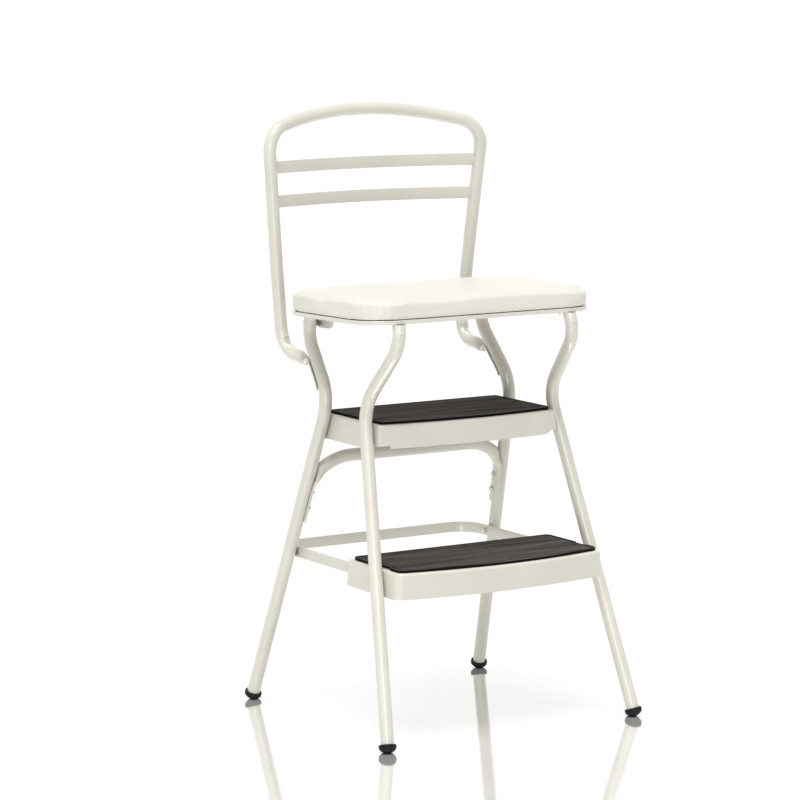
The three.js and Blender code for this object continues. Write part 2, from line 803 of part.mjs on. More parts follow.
function crestPoints() {
  const points = [];
  for (let k = 0; k <= crestSteps; k += 1) {
    const share = 2 * k / crestSteps - 1;
    const spread = crestSpread - crestBow * share * share;
    const height = backTopHeight + crestRise - crestDrop * share * share;
    points.push({ at: new THREE.Vector3(share * crestHalfSpan, spread, height) });
  }
  return points;
}

function trimBelow(stations, height) {
  const above = stations.findIndex((station) => station.z > height);
  const low = stations[above - 1];
  const high = stations[above];
  return [low.clone().lerp(high, (height - low.z) / (high.z - low.z)), ...stations.slice(above)];
}

function buildBackTube() {
  const [left, right] = sides.map((side) => backSideCorners(side));
  const route = roundedRoute([...left, ...crestPoints(), ...right.reverse()]);
  const oneEnd = trimBelow(route, waistHeight + tabEndRise);
  const places = trimBelow([...oneEnd].reverse(), waistHeight + tabEndRise).reverse();
  const travelled = [0];
  for (let i = 1; i < places.length; i += 1) {
    travelled.push(travelled[i - 1] + places[i].distanceTo(places[i - 1]));
  }
  const total = travelled[travelled.length - 1];
  const tabLine = left[2].at.clone().sub(places[0]);
  const turn = tabLine.angleTo(left[3].at.clone().sub(left[2].at));
  const tabLength = tabLine.length() - tabBend * Math.tan(turn / 2) + pressDelay;
  const behind = new THREE.Vector3().crossVectors(headingAt(places, 0), new THREE.Vector3(1, 0, 0));
  const acrosses = carried(places.slice(0, Math.ceil(places.length / 2)), behind);
  const mirror = new THREE.Vector3(-1, 1, 1);
  for (let i = acrosses.length; i < places.length; i += 1) {
    acrosses.push(acrosses[places.length - 1 - i].clone().multiply(mirror));
  }
  const stations = places.map((at, i) => {
    const fromEnd = Math.min(travelled[i], total - travelled[i]);
    const round = THREE.MathUtils.smoothstep(fromEnd, tabLength, tabLength + pressLength);
    const thin = THREE.MathUtils.lerp(tabHalfThick, tubeRadius, round);
    return { at, across: acrosses[i], thin, broad: THREE.MathUtils.lerp(tabHalfWide, tubeRadius, round) };
  });
  return piece('back_tube', drilled('back_tube', pressedTube(stations)), paint);
}

// Centre of a back upright at a height
function uprightAt(height) {
  if (height > backMidHeight) {
    const share = (height - backMidHeight) / backTopRise;
    return {
      halfWidth: THREE.MathUtils.lerp(backMidHalfWidth, backTopHalfWidth, share),
      spread: THREE.MathUtils.lerp(backMidSpread, backTopSpread, share),
    };
  }
  const share = (height - backHeelHeight) / backMidRise;
  return {
    halfWidth: THREE.MathUtils.lerp(backHeelHalfWidth, backMidHalfWidth, share),
    spread: THREE.MathUtils.lerp(backHeelSpread, backMidSpread, share),
  };
}

function buildSlat(name, height) {
  const { halfWidth, spread } = uprightAt(height - slatTall / 2);
  const reach = halfWidth - tubeRadius - touchGap;
  const edge = (offset) => {
    const points = [];
    for (let k = 0; k <= slatSteps; k += 1) {
      const share = 2 * k / slatSteps - 1;
      points.push(new THREE.Vector2(share * reach, spread + slatBow * (1 - share * share) + offset));
    }
    return points;
  };
  const shape = new THREE.Shape([...edge(-slatThick / 2), ...edge(slatThick / 2).reverse()]);
  const bar = new THREE.ExtrudeGeometry(shape, { depth: slatTall, bevelEnabled: false });
  return piece(`${name}_slat`, solidOf(bar.translate(0, 0, height - slatTall / 2)), paint);
}

// Seat, in its own leaning group

function seatLoop(inset, height, drawn) {
  const halfWidth = seatHalfWidth - inset;
  const radius = seatCorner - inset;
  const centres = [
    { x: halfWidth - radius, y: seatRear - inset - radius, from: 0 },
    { x: radius - halfWidth, y: seatRear - inset - radius, from: Math.PI / 2 },
    { x: radius - halfWidth, y: radius + inset - seatFront, from: Math.PI },
    { x: halfWidth - radius, y: radius + inset - seatFront, from: 3 * Math.PI / 2 },
  ];
  const arcs = centres.map(({ x, y, from }) => {
    const points = [];
    for (let k = 0; k <= cornerSteps; k += 1) {
      const angle = from + Math.PI / 2 * k / cornerSteps;
      points.push(new THREE.Vector3(x + radius * Math.cos(angle), y + radius * Math.sin(angle), height));
    }
    return points;
  });
  return arcs.flatMap((points, i) => {
    const last = points[cornerSteps];
    const next = arcs[(i + 1) % arcs.length][0];
    const inwards = new THREE.Vector3(last.y - next.y, next.x - last.x, 0).normalize();
    const along = [];
    for (let k = 1; k < sideSteps; k += 1) {
      const share = k / sideSteps;
      along.push(last.clone().lerp(next, share).addScaledVector(inwards, drawn * Math.sin(Math.PI * share)));
    }
    return [...points, ...along];
  });
}

function seatShape(inset) {
  return new THREE.Shape(seatLoop(inset, 0, 0).map((point) => new THREE.Vector2(point.x, point.y)));
}

function buildPan() {
  const slab = (inset, low, high) => {
    const flat = new THREE.ExtrudeGeometry(seatShape(inset), { depth: high - low, bevelEnabled: false });
    return solidOf(flat.translate(0, 0, low));
  };
  const shell = slab(0, -panRim, 0);
  return piece('seat_pan', shell.subtract(slab(panSheet, -panRim - cutOverrun, -panSheet)), paint);
}

function buildCushion() {
  const edge = cushionHeight - cushionRoll;
  const loops = [
    seatLoop(cushionUnder, touchGap, 0),
    seatLoop(0, cushionUnder + touchGap, cushionDrawn / 2),
    seatLoop(0, edge / 2, cushionDrawn),
    seatLoop(0, edge, cushionDrawn),
  ];
  const rollSteps = 4;
  for (let k = 1; k <= rollSteps; k += 1) {
    const angle = Math.PI / 2 * k / rollSteps;
    const inset = cushionRoll * (1 - Math.cos(angle));
    loops.push(seatLoop(inset, edge + cushionRoll * Math.sin(angle), cushionDrawn));
  }
  const rim = loops[loops.length - 1];
  const crownShares = [0.86, 0.68, 0.48, 0.27, 0.08];
  crownShares.forEach((share) => {
    const height = cushionHeight + cushionCrown * (1 - share * share);
    loops.push(rim.map((point) => new THREE.Vector3(point.x * share, point.y * share, height)));
  });
  return piece('seat_cushion', solidOf(skin(loops, false)), vinyl);
}

function earOffset() {
  return clearHalfWidth(rear, hingeHeight) - earGap;
}

// An L-shaped ear: a foot under the pan, and a plate with the pivot hole
function buildEar(side, seat) {
  const pivot = seat.worldToLocal(new THREE.Vector3(0, hingePoint().y, hingeHeight));
  const offset = earOffset();
  const top = -panSheet - touchGap;
  const low = pivot.z - earBelow;
  const corners = [
    { at: new THREE.Vector3(earFront, top, 0) },
    { at: new THREE.Vector3(earFront, low, 0), bend: 2 * earCorner },
    { at: new THREE.Vector3(pivot.y + earBehind, low, 0), bend: earCorner },
    { at: new THREE.Vector3(pivot.y + earBehind, -panRim - touchGap, 0) },
    { at: new THREE.Vector3(seatRear - panSheet - touchGap, -panRim - touchGap, 0) },
    { at: new THREE.Vector3(seatRear - panSheet - touchGap, top, 0) },
  ];
  const outline = roundedRoute(corners).map((point) => new THREE.Vector2(point.x, point.y));
  const plate = new THREE.ExtrudeGeometry(new THREE.Shape(outline), { depth: earSheet, bevelEnabled: false });
  plate.rotateX(Math.PI / 2).rotateZ(Math.PI / 2);
  plate.translate(side.sign * offset - earSheet / 2, 0, 0);
  const inner = side.sign * (offset - earFoot);
  const outer = side.sign * offset;
  const footLow = new THREE.Vector3(Math.min(inner, outer), earFront, top - earSheet);
  const footHigh = new THREE.Vector3(Math.max(inner, outer), seatRear - panSheet - touchGap, top);
  const bore = rod(
    new THREE.Vector3(side.sign * offset - 2 * earSheet, pivot.y, pivot.z),
    new THREE.Vector3(1, 0, 0), hingeShank + touchGap, 4 * earSheet, headSides,
  );
  const solid = solidOf(plate).add(block(footLow, footHigh)).subtract(bore);
  return piece(`hinge_ear_${side.name}`, solid, paint);
}

function buildSeat() {
  const seat = new THREE.Group();
  seat.position.set(0, 0, seatLevel);
  seat.rotation.x = -Math.atan(seatLean);
  seat.updateMatrixWorld(true);
  seat.add(buildPan(), buildCushion(), ...sides.map((side) => buildEar(side, seat)));
  return seat;
}

// A ring round the X axis through `at`, reaching inwards on one side
function ringAt(side, offset, y, z, radius, bore, thick, segments) {
  const inwards = new THREE.Vector3(-side.sign, 0, 0);
  const place = (x) => new THREE.Vector3(side.sign * x, y, z);
  return rod(place(offset), inwards, radius, thick, segments)
    .subtract(rod(place(offset + cutOverrun), inwards, bore, thick + 2 * cutOverrun, headSides));
}

// Spacers on the strap's screws and rivets
function buildStrapSpacers(side) {
  const height = strapTop - strapTall / 2;
  const lean = treadLean();
  const bore = shankRadius + touchGap;
  const spacer = (name, y, face) => {
    const outer = face - strapSpacerRadius * lean - touchGap;
    const thick = outer - strapHalfWidth() - touchGap;
    const ring = ringAt(side, outer, y, height, strapSpacerRadius, bore, thick, headSides);
    return piece(`${name}_${side.name}`, ring, capRubber);
  };
  return [
    spacer('strap_leg_spacer', legAt(rear, side, height).at.y, clearHalfWidth(rear, height)),
    spacer('strap_tray_spacer', -strapRivetSpread, strapTrayFace() - traySheet),
  ];
}

// Hinge bolt, driven outwards from inside the ear, and its spacer
function buildHingeParts(side) {
  const pivot = hingePoint();
  const headSeat = earOffset() - earSheet / 2 - touchGap;
  const at = new THREE.Vector3(side.sign * headSeat, pivot.y, pivot.z);
  const length = legHalfWidth(rear, hingeHeight) - headSeat;
  const outwards = new THREE.Vector3(side.sign, 0, 0);
  const bolt = domedPin(at, outwards, length, hingeShank, hingeHead, hingeDome);
  const bore = hingeShank + touchGap;
  const outer = clearHalfWidth(rear, hingeHeight) - spacerRadius * treadLean() - touchGap;
  const thick = outer - earOffset() - earSheet / 2 - touchGap;
  const spacer = ringAt(side, outer, pivot.y, pivot.z, spacerRadius, bore, thick, headSides);
  return [
    piece(`hinge_bolt_${side.name}`, bolt, brightSteel),
    piece(`hinge_spacer_${side.name}`, spacer, capRubber),
  ];
}

const frame = new THREE.Group();
sides.forEach((side) => {
  ends.forEach((end) => frame.add(buildLeg(end, side), buildCap(end, side)));
  frame.add(buildRail(side), buildBumper(side), ...buildHingeParts(side), ...buildStrapSpacers(side));
});
frame.add(buildBar('front_cross_bar', -frontBarSpread), buildBar('rear_cross_bar', rearBarSpread));
[upperTread, lowerTread].forEach((tread) => frame.add(buildTray(tread), buildMat(tread)));
frame.add(buildStrap(), buildBrace(), buildBackTube());
Object.entries(slatDrops).forEach(([name, drop]) => frame.add(buildSlat(name, backTopHeight - drop)));
frame.add(...buildSmallFixings());

// The origin is on the floor, under the middle of the chair's outer box
const chair = new THREE.Group();
chair.add(frame, buildSeat());
chair.updateMatrixWorld(true);
const bounds = new THREE.Box3().setFromObject(chair, true);
const centre = bounds.getCenter(new THREE.Vector3());
chair.position.set(-centre.x, -centre.y, -bounds.min.z);

export default chair;
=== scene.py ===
import math
import bmesh
import bpy
from mathutils import Matrix, Vector, noise


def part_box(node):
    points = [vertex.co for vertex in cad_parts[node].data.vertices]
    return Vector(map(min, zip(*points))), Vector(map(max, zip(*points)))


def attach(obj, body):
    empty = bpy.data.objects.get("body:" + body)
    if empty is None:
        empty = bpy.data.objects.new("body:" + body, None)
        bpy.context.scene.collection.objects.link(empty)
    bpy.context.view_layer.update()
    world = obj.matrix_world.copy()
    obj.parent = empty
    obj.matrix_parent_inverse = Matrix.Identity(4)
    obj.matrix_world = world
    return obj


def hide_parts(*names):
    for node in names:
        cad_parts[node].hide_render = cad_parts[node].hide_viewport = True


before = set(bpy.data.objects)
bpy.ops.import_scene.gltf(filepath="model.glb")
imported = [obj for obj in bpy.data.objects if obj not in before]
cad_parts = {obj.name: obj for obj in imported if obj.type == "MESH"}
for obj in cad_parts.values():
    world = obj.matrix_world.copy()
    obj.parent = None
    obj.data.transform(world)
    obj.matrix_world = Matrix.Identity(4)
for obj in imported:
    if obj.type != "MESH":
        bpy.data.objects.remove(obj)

print("frame loaded:", len(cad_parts), "nodes")
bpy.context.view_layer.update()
mm = 0.001
scene = bpy.context.scene
sides = {"left": -1, "right": 1}
ends = {"front": -1, "rear": 1}

# sizes are in millimetres from the middle of the chair's floor, and go to metres when a piece is finished
tube = {"radius": 9.5, "wall": 1.2, "gap": 0.3, "sides": 32, "bendStep": math.radians(4), "square": 0.62}
strap = {"thick": 3, "tall": 16, "top": 239.1, "gap": 3.2, "rear": 177, "corner": 37, "front": 62,
         "rivetAt": -48, "rounding": 0.9, "longest": 40}
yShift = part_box("rear_strap")[1].y - strap["rear"] * mm  # the outer box isn't quite centred on the legs


def placed(point):
    return Vector(point) * mm + Vector((0, yShift, 0))


def addObject(name, data):
    made = bpy.data.objects.new(name, data)
    scene.collection.objects.link(made)
    return made


def addNode(tree, kind, **values):
    made = tree.nodes.new("ShaderNode" + kind)
    for key, value in values.items():
        if key in made.inputs:
            made.inputs[key].default_value = value
        else:
            setattr(made, key, value)
    return made


# camera, floor and lights
camera = {
    "eye": (-2707.9, -4148.2, 1163.1), "target": (-35.8, 51.5, 455.4), "roll": 0.12,
    "lens": 154.26, "sensor": 36, "farthest": 100,
}
studio = {
    "floorSize": 60, "floorColour": (0.93, 0.93, 0.922), "floorRoughness": 0.08, "floorMetal": 0.74,
    "world": (1.0, 1.0, 1.0), "seenStrength": 1.06, "fillStrength": 0.5,
}
lights = {  # the strip is seen only in gloss, where it draws the bright line along the tubes
    "sun": {"kind": "SUN", "power": 3.1, "at": (-0.3, -0.32, 1.9), "aim": (0, 0, 0), "diffuse": True,
            "shape": {"angle": math.radians(34)}},
    "side": {"kind": "AREA", "power": 9, "at": (-3.4, -1.4, 1.6), "aim": (0, 0, 0.5), "diffuse": True,
             "shape": {"shape": "RECTANGLE", "size": 1.2, "size_y": 1.2}},
    "strip": {"kind": "AREA", "power": 120, "at": (-3.45, -5.65, 2.3), "aim": (0, 0, 0.5), "diffuse": False,
              "shape": {"shape": "RECTANGLE", "size": 1.8, "size_y": 3.2}},
}


def addCamera():
    data = bpy.data.cameras.new("camera")
    data.lens = camera["lens"]
    data.sensor_width = camera["sensor"]
    data.clip_end = camera["farthest"]
    seen = addObject("camera", data)
    eye = placed(camera["eye"])
    look = (placed(camera["target"]) - eye).to_track_quat("-Z", "Y").to_matrix().to_4x4()
    seen.matrix_world = Matrix.Translation(eye) @ look @ Matrix.Rotation(math.radians(camera["roll"]), 4, "Z")
    scene.camera = seen


def addLight(name):
    values = lights[name]
    data = bpy.data.lights.new(name, values["kind"])
    data.energy = values["power"]
    for key, value in values["shape"].items():
        setattr(data, key, value)
    light = addObject(name, data)
    at = Vector(values["at"])
    light.location = at
    light.rotation_euler = (Vector(values["aim"]) - at).to_track_quat("-Z", "Y").to_euler()
    light.visible_diffuse = values["diffuse"]


def addWorld():
    # the world lights the chair less than it shows behind it
    world = bpy.data.worlds.new("studio")
    world.use_nodes = True
    tree = world.node_tree
    background = tree.nodes["Background"]
    background.inputs["Color"].default_value = (*studio["world"], 1)
    path = addNode(tree, "LightPath")
    strength = addNode(tree, "MapRange", **{"To Min": studio["seenStrength"], "To Max": studio["fillStrength"]})
    tree.links.new(path.outputs["Is Diffuse Ray"], strength.inputs["Value"])
    tree.links.new(strength.outputs["Result"], background.inputs["Strength"])
    scene.world = world
    scene.view_settings.view_transform = "Standard"


def addFloor():
    bm = bmesh.new()
    bmesh.ops.create_grid(bm, x_segments=1, y_segments=1, size=studio["floorSize"] / 2)
    mesh = bpy.data.meshes.new("floor")
    bm.to_mesh(mesh)
    bm.free()
    floor = addObject("floor", mesh)
    look = bpy.data.materials.new("floorGloss")
    look.use_nodes = True
    shader = look.node_tree.nodes["Principled BSDF"]
    shader.inputs["Base Color"].default_value = (*studio["floorColour"], 1)
    shader.inputs["Roughness"].default_value = studio["floorRoughness"]
    shader.inputs["Metallic"].default_value = studio["floorMetal"]
    mesh.materials.append(look)


addCamera()
addWorld()
for name in lights:
    addLight(name)
addFloor()
print("camera, floor and lights placed")


# materials: patterns run on Object coordinates, which are metres
# colours and roughness drift slowly between two values, at the scale "drift", drawn out by "streaks" if given
# a texture is its kind, the output that makes the bump, its share of the bump and its values
def rubber(slot, dark, light, roughness, grit, shine, **more):
    return {
        "slot": slot, "colours": [dark, light], "drift": 40.0, "roughness": roughness,
        "sockets": {"Specular IOR Level": shine}, "bump": (grit, 0.0003),
        "textures": [("Noise", "Fac", 0.7, {"Scale": 1500.0, "Detail": 3.0}),
                     ("Voronoi", "Distance", 0.3, {"Scale": 900.0})], **more,
    }


finishes = {
    "creamEnamel": {
        "slot": "cream_paint", "colours": [(0.57, 0.549, 0.482), (0.6, 0.578, 0.511)], "drift": 14.0,
        "roughness": (0.26, 0.4), "sockets": {"Coat Weight": 0.8, "Coat Roughness": 0.07, "IOR": 1.45},
        "textures": [("Noise", "Fac", 0.8, {"Scale": 620.0, "Detail": 2.0}),  # orange peel
                     ("Noise", "Fac", 0.2, {"Scale": 2600.0, "Detail": 1.0})],  # dust under the coat
        "bump": (0.12, 0.0002),
    },
    "creamVinyl": {
        "slot": "cream_vinyl", "colours": [(0.61, 0.598, 0.532), (0.641, 0.63, 0.568)], "drift": 9.0,
        "roughness": (0.36, 0.5), "sockets": {
            "Specular IOR Level": 0.35, "Coat Weight": 0.12, "Coat Roughness": 0.3,
            "Sheen Weight": 0.08, "Sheen Roughness": 0.4},
        "textures": [("Voronoi", "Distance", 0.5, {"Scale": 780.0, "feature": "SMOOTH_F1"}),  # leather grain
                     ("Noise", "Fac", 0.3, {"Scale": 230.0, "Detail": 5.0, "Distortion": 0.6}),  # creases
                     ("Noise", "Fac", 0.9, {"Scale": 26.0, "Detail": 2.0})],  # slack over the padding
        "bump": (0.22, 0.0005),
    },
    "matField": rubber("mat_rubber", (0.012, 0.01, 0.007), (0.036, 0.031, 0.024), (0.6, 0.78), 0.35, 0.22,
                       streaks=(0.12, 1.9, 1)),
    # lighter rubber for the ribs, also put on the mats' rim chamfer as a painted highlight along the top edge
    "matRib": rubber("mat_rubber", (0.02, 0.017, 0.013), (0.125, 0.112, 0.097), (0.55, 0.7), 0.3, 0.2,
                     streaks=(0.12, 1.9, 1)),
    "matEdge": rubber("mat_rubber", (0.003, 0.003, 0.003), (0.005, 0.005, 0.005), (0.7, 0.85), 0.2, 0.06),
    "greyNylon": rubber("black_rubber", (0.15, 0.14, 0.125), (0.23, 0.215, 0.19), (0.4, 0.55), 0.15, 0.5),
    "blackRubber": rubber("black_rubber", (0.004, 0.004, 0.004), (0.009, 0.009, 0.008), (0.5, 0.65), 0.15, 0.16),
    "brightSteel": {
        "slot": "bright_steel", "colours": [(0.36, 0.36, 0.355), (0.6, 0.6, 0.59)], "drift": 300.0,
        "roughness": (0.14, 0.3), "sockets": {"Metallic": 1.0},
        "textures": [("Noise", "Fac", 1.0, {"Scale": 1800.0, "Detail": 2.0})],  # fine scratches
        "bump": (0.08, 0.0001),
    },
}
drifting = {"ends": (0.35, 0.65), "detail": 3.0}  # the span of the noise that the colours are spread over


def makeFinish(name):
    finish = finishes[name]
    look = bpy.data.materials.new(name)
    look.use_nodes = True
    tree = look.node_tree
    shader = tree.nodes["Principled BSDF"]
    look.diffuse_color = (*[sum(pair) / 2 for pair in zip(*finish["colours"])], 1)
    shader.inputs["Base Color"].default_value = look.diffuse_color
    for socket, value in finish["sockets"].items():
        shader.inputs[socket].default_value = value
    place = addNode(tree, "TexCoord").outputs["Object"]
    drift = addNode(tree, "TexNoise", Scale=finish["drift"], Detail=drifting["detail"])
    if "streaks" in finish:
        drawn = addNode(tree, "Mapping", Scale=finish["streaks"])
        tree.links.new(place, drawn.inputs["Vector"])
        tree.links.new(drawn.outputs["Vector"], drift.inputs["Vector"])
    else:
        tree.links.new(place, drift.inputs["Vector"])
    ramp = addNode(tree, "ValToRGB")
    for element, position, colour in zip(ramp.color_ramp.elements, drifting["ends"], finish["colours"]):
        element.position = position
        element.color = (*colour, 1)
    low, high = finish["roughness"]
    gloss = addNode(tree, "MapRange", **{"To Min": low, "To Max": high})
    tree.links.new(drift.outputs["Fac"], ramp.inputs["Fac"])
    tree.links.new(ramp.outputs["Color"], shader.inputs["Base Color"])
    tree.links.new(drift.outputs["Fac"], gloss.inputs["Value"])
    tree.links.new(gloss.outputs["Result"], shader.inputs["Roughness"])
    strength, distance = finish["bump"]
    bump = addNode(tree, "Bump", Strength=strength, Distance=distance)
    total = None
    for kind, output, weight, values in finish["textures"]:
        texture = addNode(tree, "Tex" + kind, **values)
        tree.links.new(place, texture.inputs["Vector"])
        plus = addNode(tree, "Math", operation="MULTIPLY_ADD")
        plus.inputs[1].default_value = weight
        plus.inputs[2].default_value = 0
        tree.links.new(texture.outputs[output], plus.inputs[0])
        if total:
            tree.links.new(total, plus.inputs[2])
        total = plus.outputs[0]
    tree.links.new(total, bump.inputs["Height"])
    tree.links.new(bump.outputs["Normal"], shader.inputs["Normal"])
    return look


looks = {name: makeFinish(name) for name in finishes}
print("materials made")


# shared makers
weld = {"step": 1.4, "leastSteps": 4, "sides": 10, "full": 4, "tip": 0.6, "fade": 2.6,
        "lump": 0.16, "pace": 0.9, "layer": 0.3}
same = 0.001  # nearer than this is one place
levelNormal = 0.99  # a face with more than this of its normal upright is level


def cornered(name):
    # node and piece names: front_leg_left -> frontLegLeft
    first, *others = name.split("_")
    return first + "".join(word.capitalize() for word in others)


def finishPiece(bm, node, name=None, finish=("creamEnamel",), body="frame", sharp=35, closed=True, inMetres=False):
    name = name or cornered(node)
    bmesh.ops.remove_doubles(bm, verts=bm.verts, dist=same * mm if inMetres else same)
    if closed:
        bmesh.ops.recalc_face_normals(bm, faces=bm.faces)
    if not inMetres:
        bmesh.ops.scale(bm, vec=(mm, mm, mm), verts=bm.verts)
        bmesh.ops.translate(bm, vec=(0, yShift, 0), verts=bm.verts)
    mesh = bpy.data.meshes.new(name)
    bm.to_mesh(mesh)
    bm.free()
    mesh.shade_smooth()
    mesh.set_sharp_from_angle(angle=math.radians(sharp))
    for look in finish:
        mesh.materials.append(looks[look])
    piece = addObject(name, mesh)
    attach(piece, body)
    if node:
        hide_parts(node)
    return piece


def addSheet(piece, thick):
    wall = piece.modifiers.new("sheet", "SOLIDIFY")
    wall.thickness = thick * mm
    wall.offset = -1
    wall.use_even_offset = True


def softenRim(piece, width, angle):
    soft = piece.modifiers.new("rim", "BEVEL")
    soft.width = width * mm
    soft.segments = 2
    soft.limit_method = "ANGLE"
    soft.angle_limit = math.radians(angle)
    even = piece.modifiers.new("even", "WEIGHTED_NORMAL")
    even.keep_sharp = True


def bevelled(bm, geom, offset, segments, affect="EDGES", **how):
    return bmesh.ops.bevel(bm, geom=geom, offset=offset, segments=segments, affect=affect, profile=0.5,
                           material=-1, **how)["faces"]


def sliced(bm, at, normal, **how):
    return bmesh.ops.bisect_plane(bm, geom=bm.verts[:] + bm.edges[:] + bm.faces[:],
                                  plane_co=at, plane_no=normal, **how)["geom_cut"]


def onlyVerts(geom):
    return [g for g in geom if isinstance(g, bmesh.types.BMVert)]


def onlyEdges(geom):
    return [g for g in geom if isinstance(g, bmesh.types.BMEdge)]


def grown(bm, edges):
    # the next ring of a tube or sheet: its vertices and its free edges
    made = bmesh.ops.extrude_edge_only(bm, edges=edges)["geom"]
    return onlyVerts(made), [e for e in onlyEdges(made) if e.is_boundary]


def thickened(bm, height):
    made = bmesh.ops.extrude_face_region(bm, geom=bm.faces[:], use_keep_orig=True)["geom"]
    bmesh.ops.translate(bm, vec=(0, 0, height), verts=onlyVerts(made))


def closeRims(bm, rims):
    for rim in rims:
        bmesh.ops.edgeloop_fill(bm, edges=rim)


def roundedRoute(corners):
    # corners are (place, bend radius); a radius of 0 is a plain point
    places = [Vector(corners[0][0])]
    for i in range(1, len(corners) - 1):
        at, bend = Vector(corners[i][0]), corners[i][1]
        if not bend:
            places.append(at)
            continue
        into = (at - Vector(corners[i - 1][0])).normalized()
        away = (Vector(corners[i + 1][0]) - at).normalized()
        turn = into.angle(away)
        start = at - into * bend * math.tan(turn / 2)
        centre = at + (away - into).normalized() * bend / math.cos(turn / 2)
        axis = into.cross(away).normalized()
        steps = max(1, math.ceil(turn / tube["bendStep"]))
        for k in range(steps + 1):
            places.append(centre + Matrix.Rotation(turn * k / steps, 3, axis) @ (start - centre))
    places.append(Vector(corners[-1][0]))
    return places


def trimmedBelow(places, height):
    above = next(i for i, place in enumerate(places) if place.z > height)
    low, high = places[above - 1], places[above]
    return [low.lerp(high, (height - low.z) / (high.z - low.z))] + places[above:]


def spaced(places, longest):
    # adds places on long straight runs
    made = [places[0]]
    for place in places[1:]:
        count = max(1, math.ceil((place - made[-1]).length / longest))
        last = made[-1]
        made += [last.lerp(place, k / count) for k in range(1, count + 1)]
    return made


def smoothShare(value, low, high):
    share = min(1, max(0, (value - low) / (high - low)))
    return share * share * (3 - 2 * share)


def headingAt(places, i):
    heading = Vector((0, 0, 0))
    if i > 0:
        heading += (places[i] - places[i - 1]).normalized()
    if i < len(places) - 1:
        heading += (places[i + 1] - places[i]).normalized()
    return heading.normalized()


def stationsOf(places, first, radius=tube["radius"]):
    # a station is place, heading, direction of the thickness, half the thickness, half the width
    across = Vector(first)
    made = []
    for i, place in enumerate(places):
        heading = headingAt(places, i)
        across = (across - heading * across.dot(heading)).normalized()
        made.append([place, heading, across.copy(), radius, radius])
    return made


def sweepTube(bm, stations, count=tube["sides"], full=tube["radius"], ripple=None):
    # a sixth number in a station curls the section, with its centre on the side that across points to
    turn = bm.verts.layers.float.new("turn")
    ring = bmesh.ops.create_circle(bm, segments=count, radius=1)["verts"]
    for v in ring:
        v[turn] = math.atan2(v.co.y, v.co.x)
    start = edges = [e for e in bm.edges if all(v in ring for v in e.verts)]
    for i, (place, heading, across, thin, broad, *curled) in enumerate(stations):
        if i:
            ring, edges = grown(bm, edges)
        wide = heading.cross(across)
        power = 1 - tube["square"] * (1 - thin / full)
        curl = curled[0] if curled else 0
        for v in ring:
            c, s = math.cos(v[turn]), math.sin(v[turn])
            extra = ripple(i, c) if ripple else 0
            x = math.copysign((thin + extra) * abs(c) ** power, c)
            y = math.copysign((broad + extra) * abs(s) ** power, s)
            if abs(curl) > 0.0001:
                x, y = 1 / curl - (1 / curl - x) * math.cos(y * curl), (1 / curl - x) * math.sin(y * curl)
            v.co = place + across * x + wide * y
    return start, edges


def sweepBar(bm, places, thick, tall, rounding):
    # a flat bar on edge along a level route, with its ends closed
    face = bmesh.ops.create_grid(bm, x_segments=1, y_segments=1, size=1)["verts"]
    bmesh.ops.scale(bm, vec=(thick / 2, tall / 2, 1), verts=face)
    bevelled(bm, face, rounding, 3, "VERTICES")
    bmesh.ops.delete(bm, geom=bm.faces[:], context="FACES_ONLY")
    ring, edges = bm.verts[:], bm.edges[:]
    start = edges
    up = Vector((0, 0, 1))
    before = Matrix.Identity(4)
    for i, place in enumerate(places):
        heading = headingAt(places, i)
        stand = Matrix((up.cross(heading).normalized(), up, heading)).transposed().to_4x4()
        stand.translation = place
        if i:
            ring, edges = grown(bm, edges)
        bmesh.ops.transform(bm, matrix=stand @ before.inverted(), verts=ring)
        before = stand
    closeRims(bm, (start, edges))


def spun(bm, profile, at, along, steps=32):
    # profile points are (radius, place along the axis)
    known = set(bm.verts)
    verts = [bm.verts.new((radius, 0, height)) for radius, height in profile]
    edges = [bm.edges.new(pair) for pair in zip(verts, verts[1:])]
    bmesh.ops.spin(bm, geom=verts + edges, cent=(0, 0, 0), axis=(0, 0, 1), angle=2 * math.pi, steps=steps,
                   use_merge=True)
    bmesh.ops.remove_doubles(bm, verts=[v for v in bm.verts if v not in known], dist=same / 2)
    turn = Vector((0, 0, 1)).rotation_difference(Vector(along)).to_matrix().to_4x4()
    bmesh.ops.transform(bm, matrix=Matrix.Translation(at) @ turn, verts=[v for v in bm.verts if v not in known])


def arcPoints(radius, start, end, steps, centre=(0, 0)):
    # points of a profile arc, angles in degrees from the radius direction
    points = []
    for k in range(steps + 1):
        angle = math.radians(start + (end - start) * k / steps)
        points.append((centre[0] + radius * math.cos(angle), centre[1] + radius * math.sin(angle)))
    return points


def quarterTurns(steps=6):
    return [math.pi / 2 * k / steps for k in range(1, steps + 1)]


def weldBead(bm, start, end, radius, seed):
    # a slightly lumpy run of weld under the paint
    start, end = Vector(start), Vector(end)
    steps = max(weld["leastSteps"], int((end - start).length / weld["step"]))
    places = [start.lerp(end, k / steps) for k in range(steps + 1)]
    stations = stationsOf(places, (end - start).orthogonal(), radius)
    for k, station in enumerate(stations):
        size = radius
        for fromEnd in (k, steps - k):
            size *= math.sin(math.pi * min(1, (fromEnd + weld["tip"]) / weld["fade"]) / 2)
        size *= 1 + weld["lump"] * noise.noise(Vector((seed, k * weld["pace"], weld["layer"])))
        station[3] = station[4] = size
    closeRims(bm, sweepTube(bm, stations, weld["sides"], radius * weld["full"]))


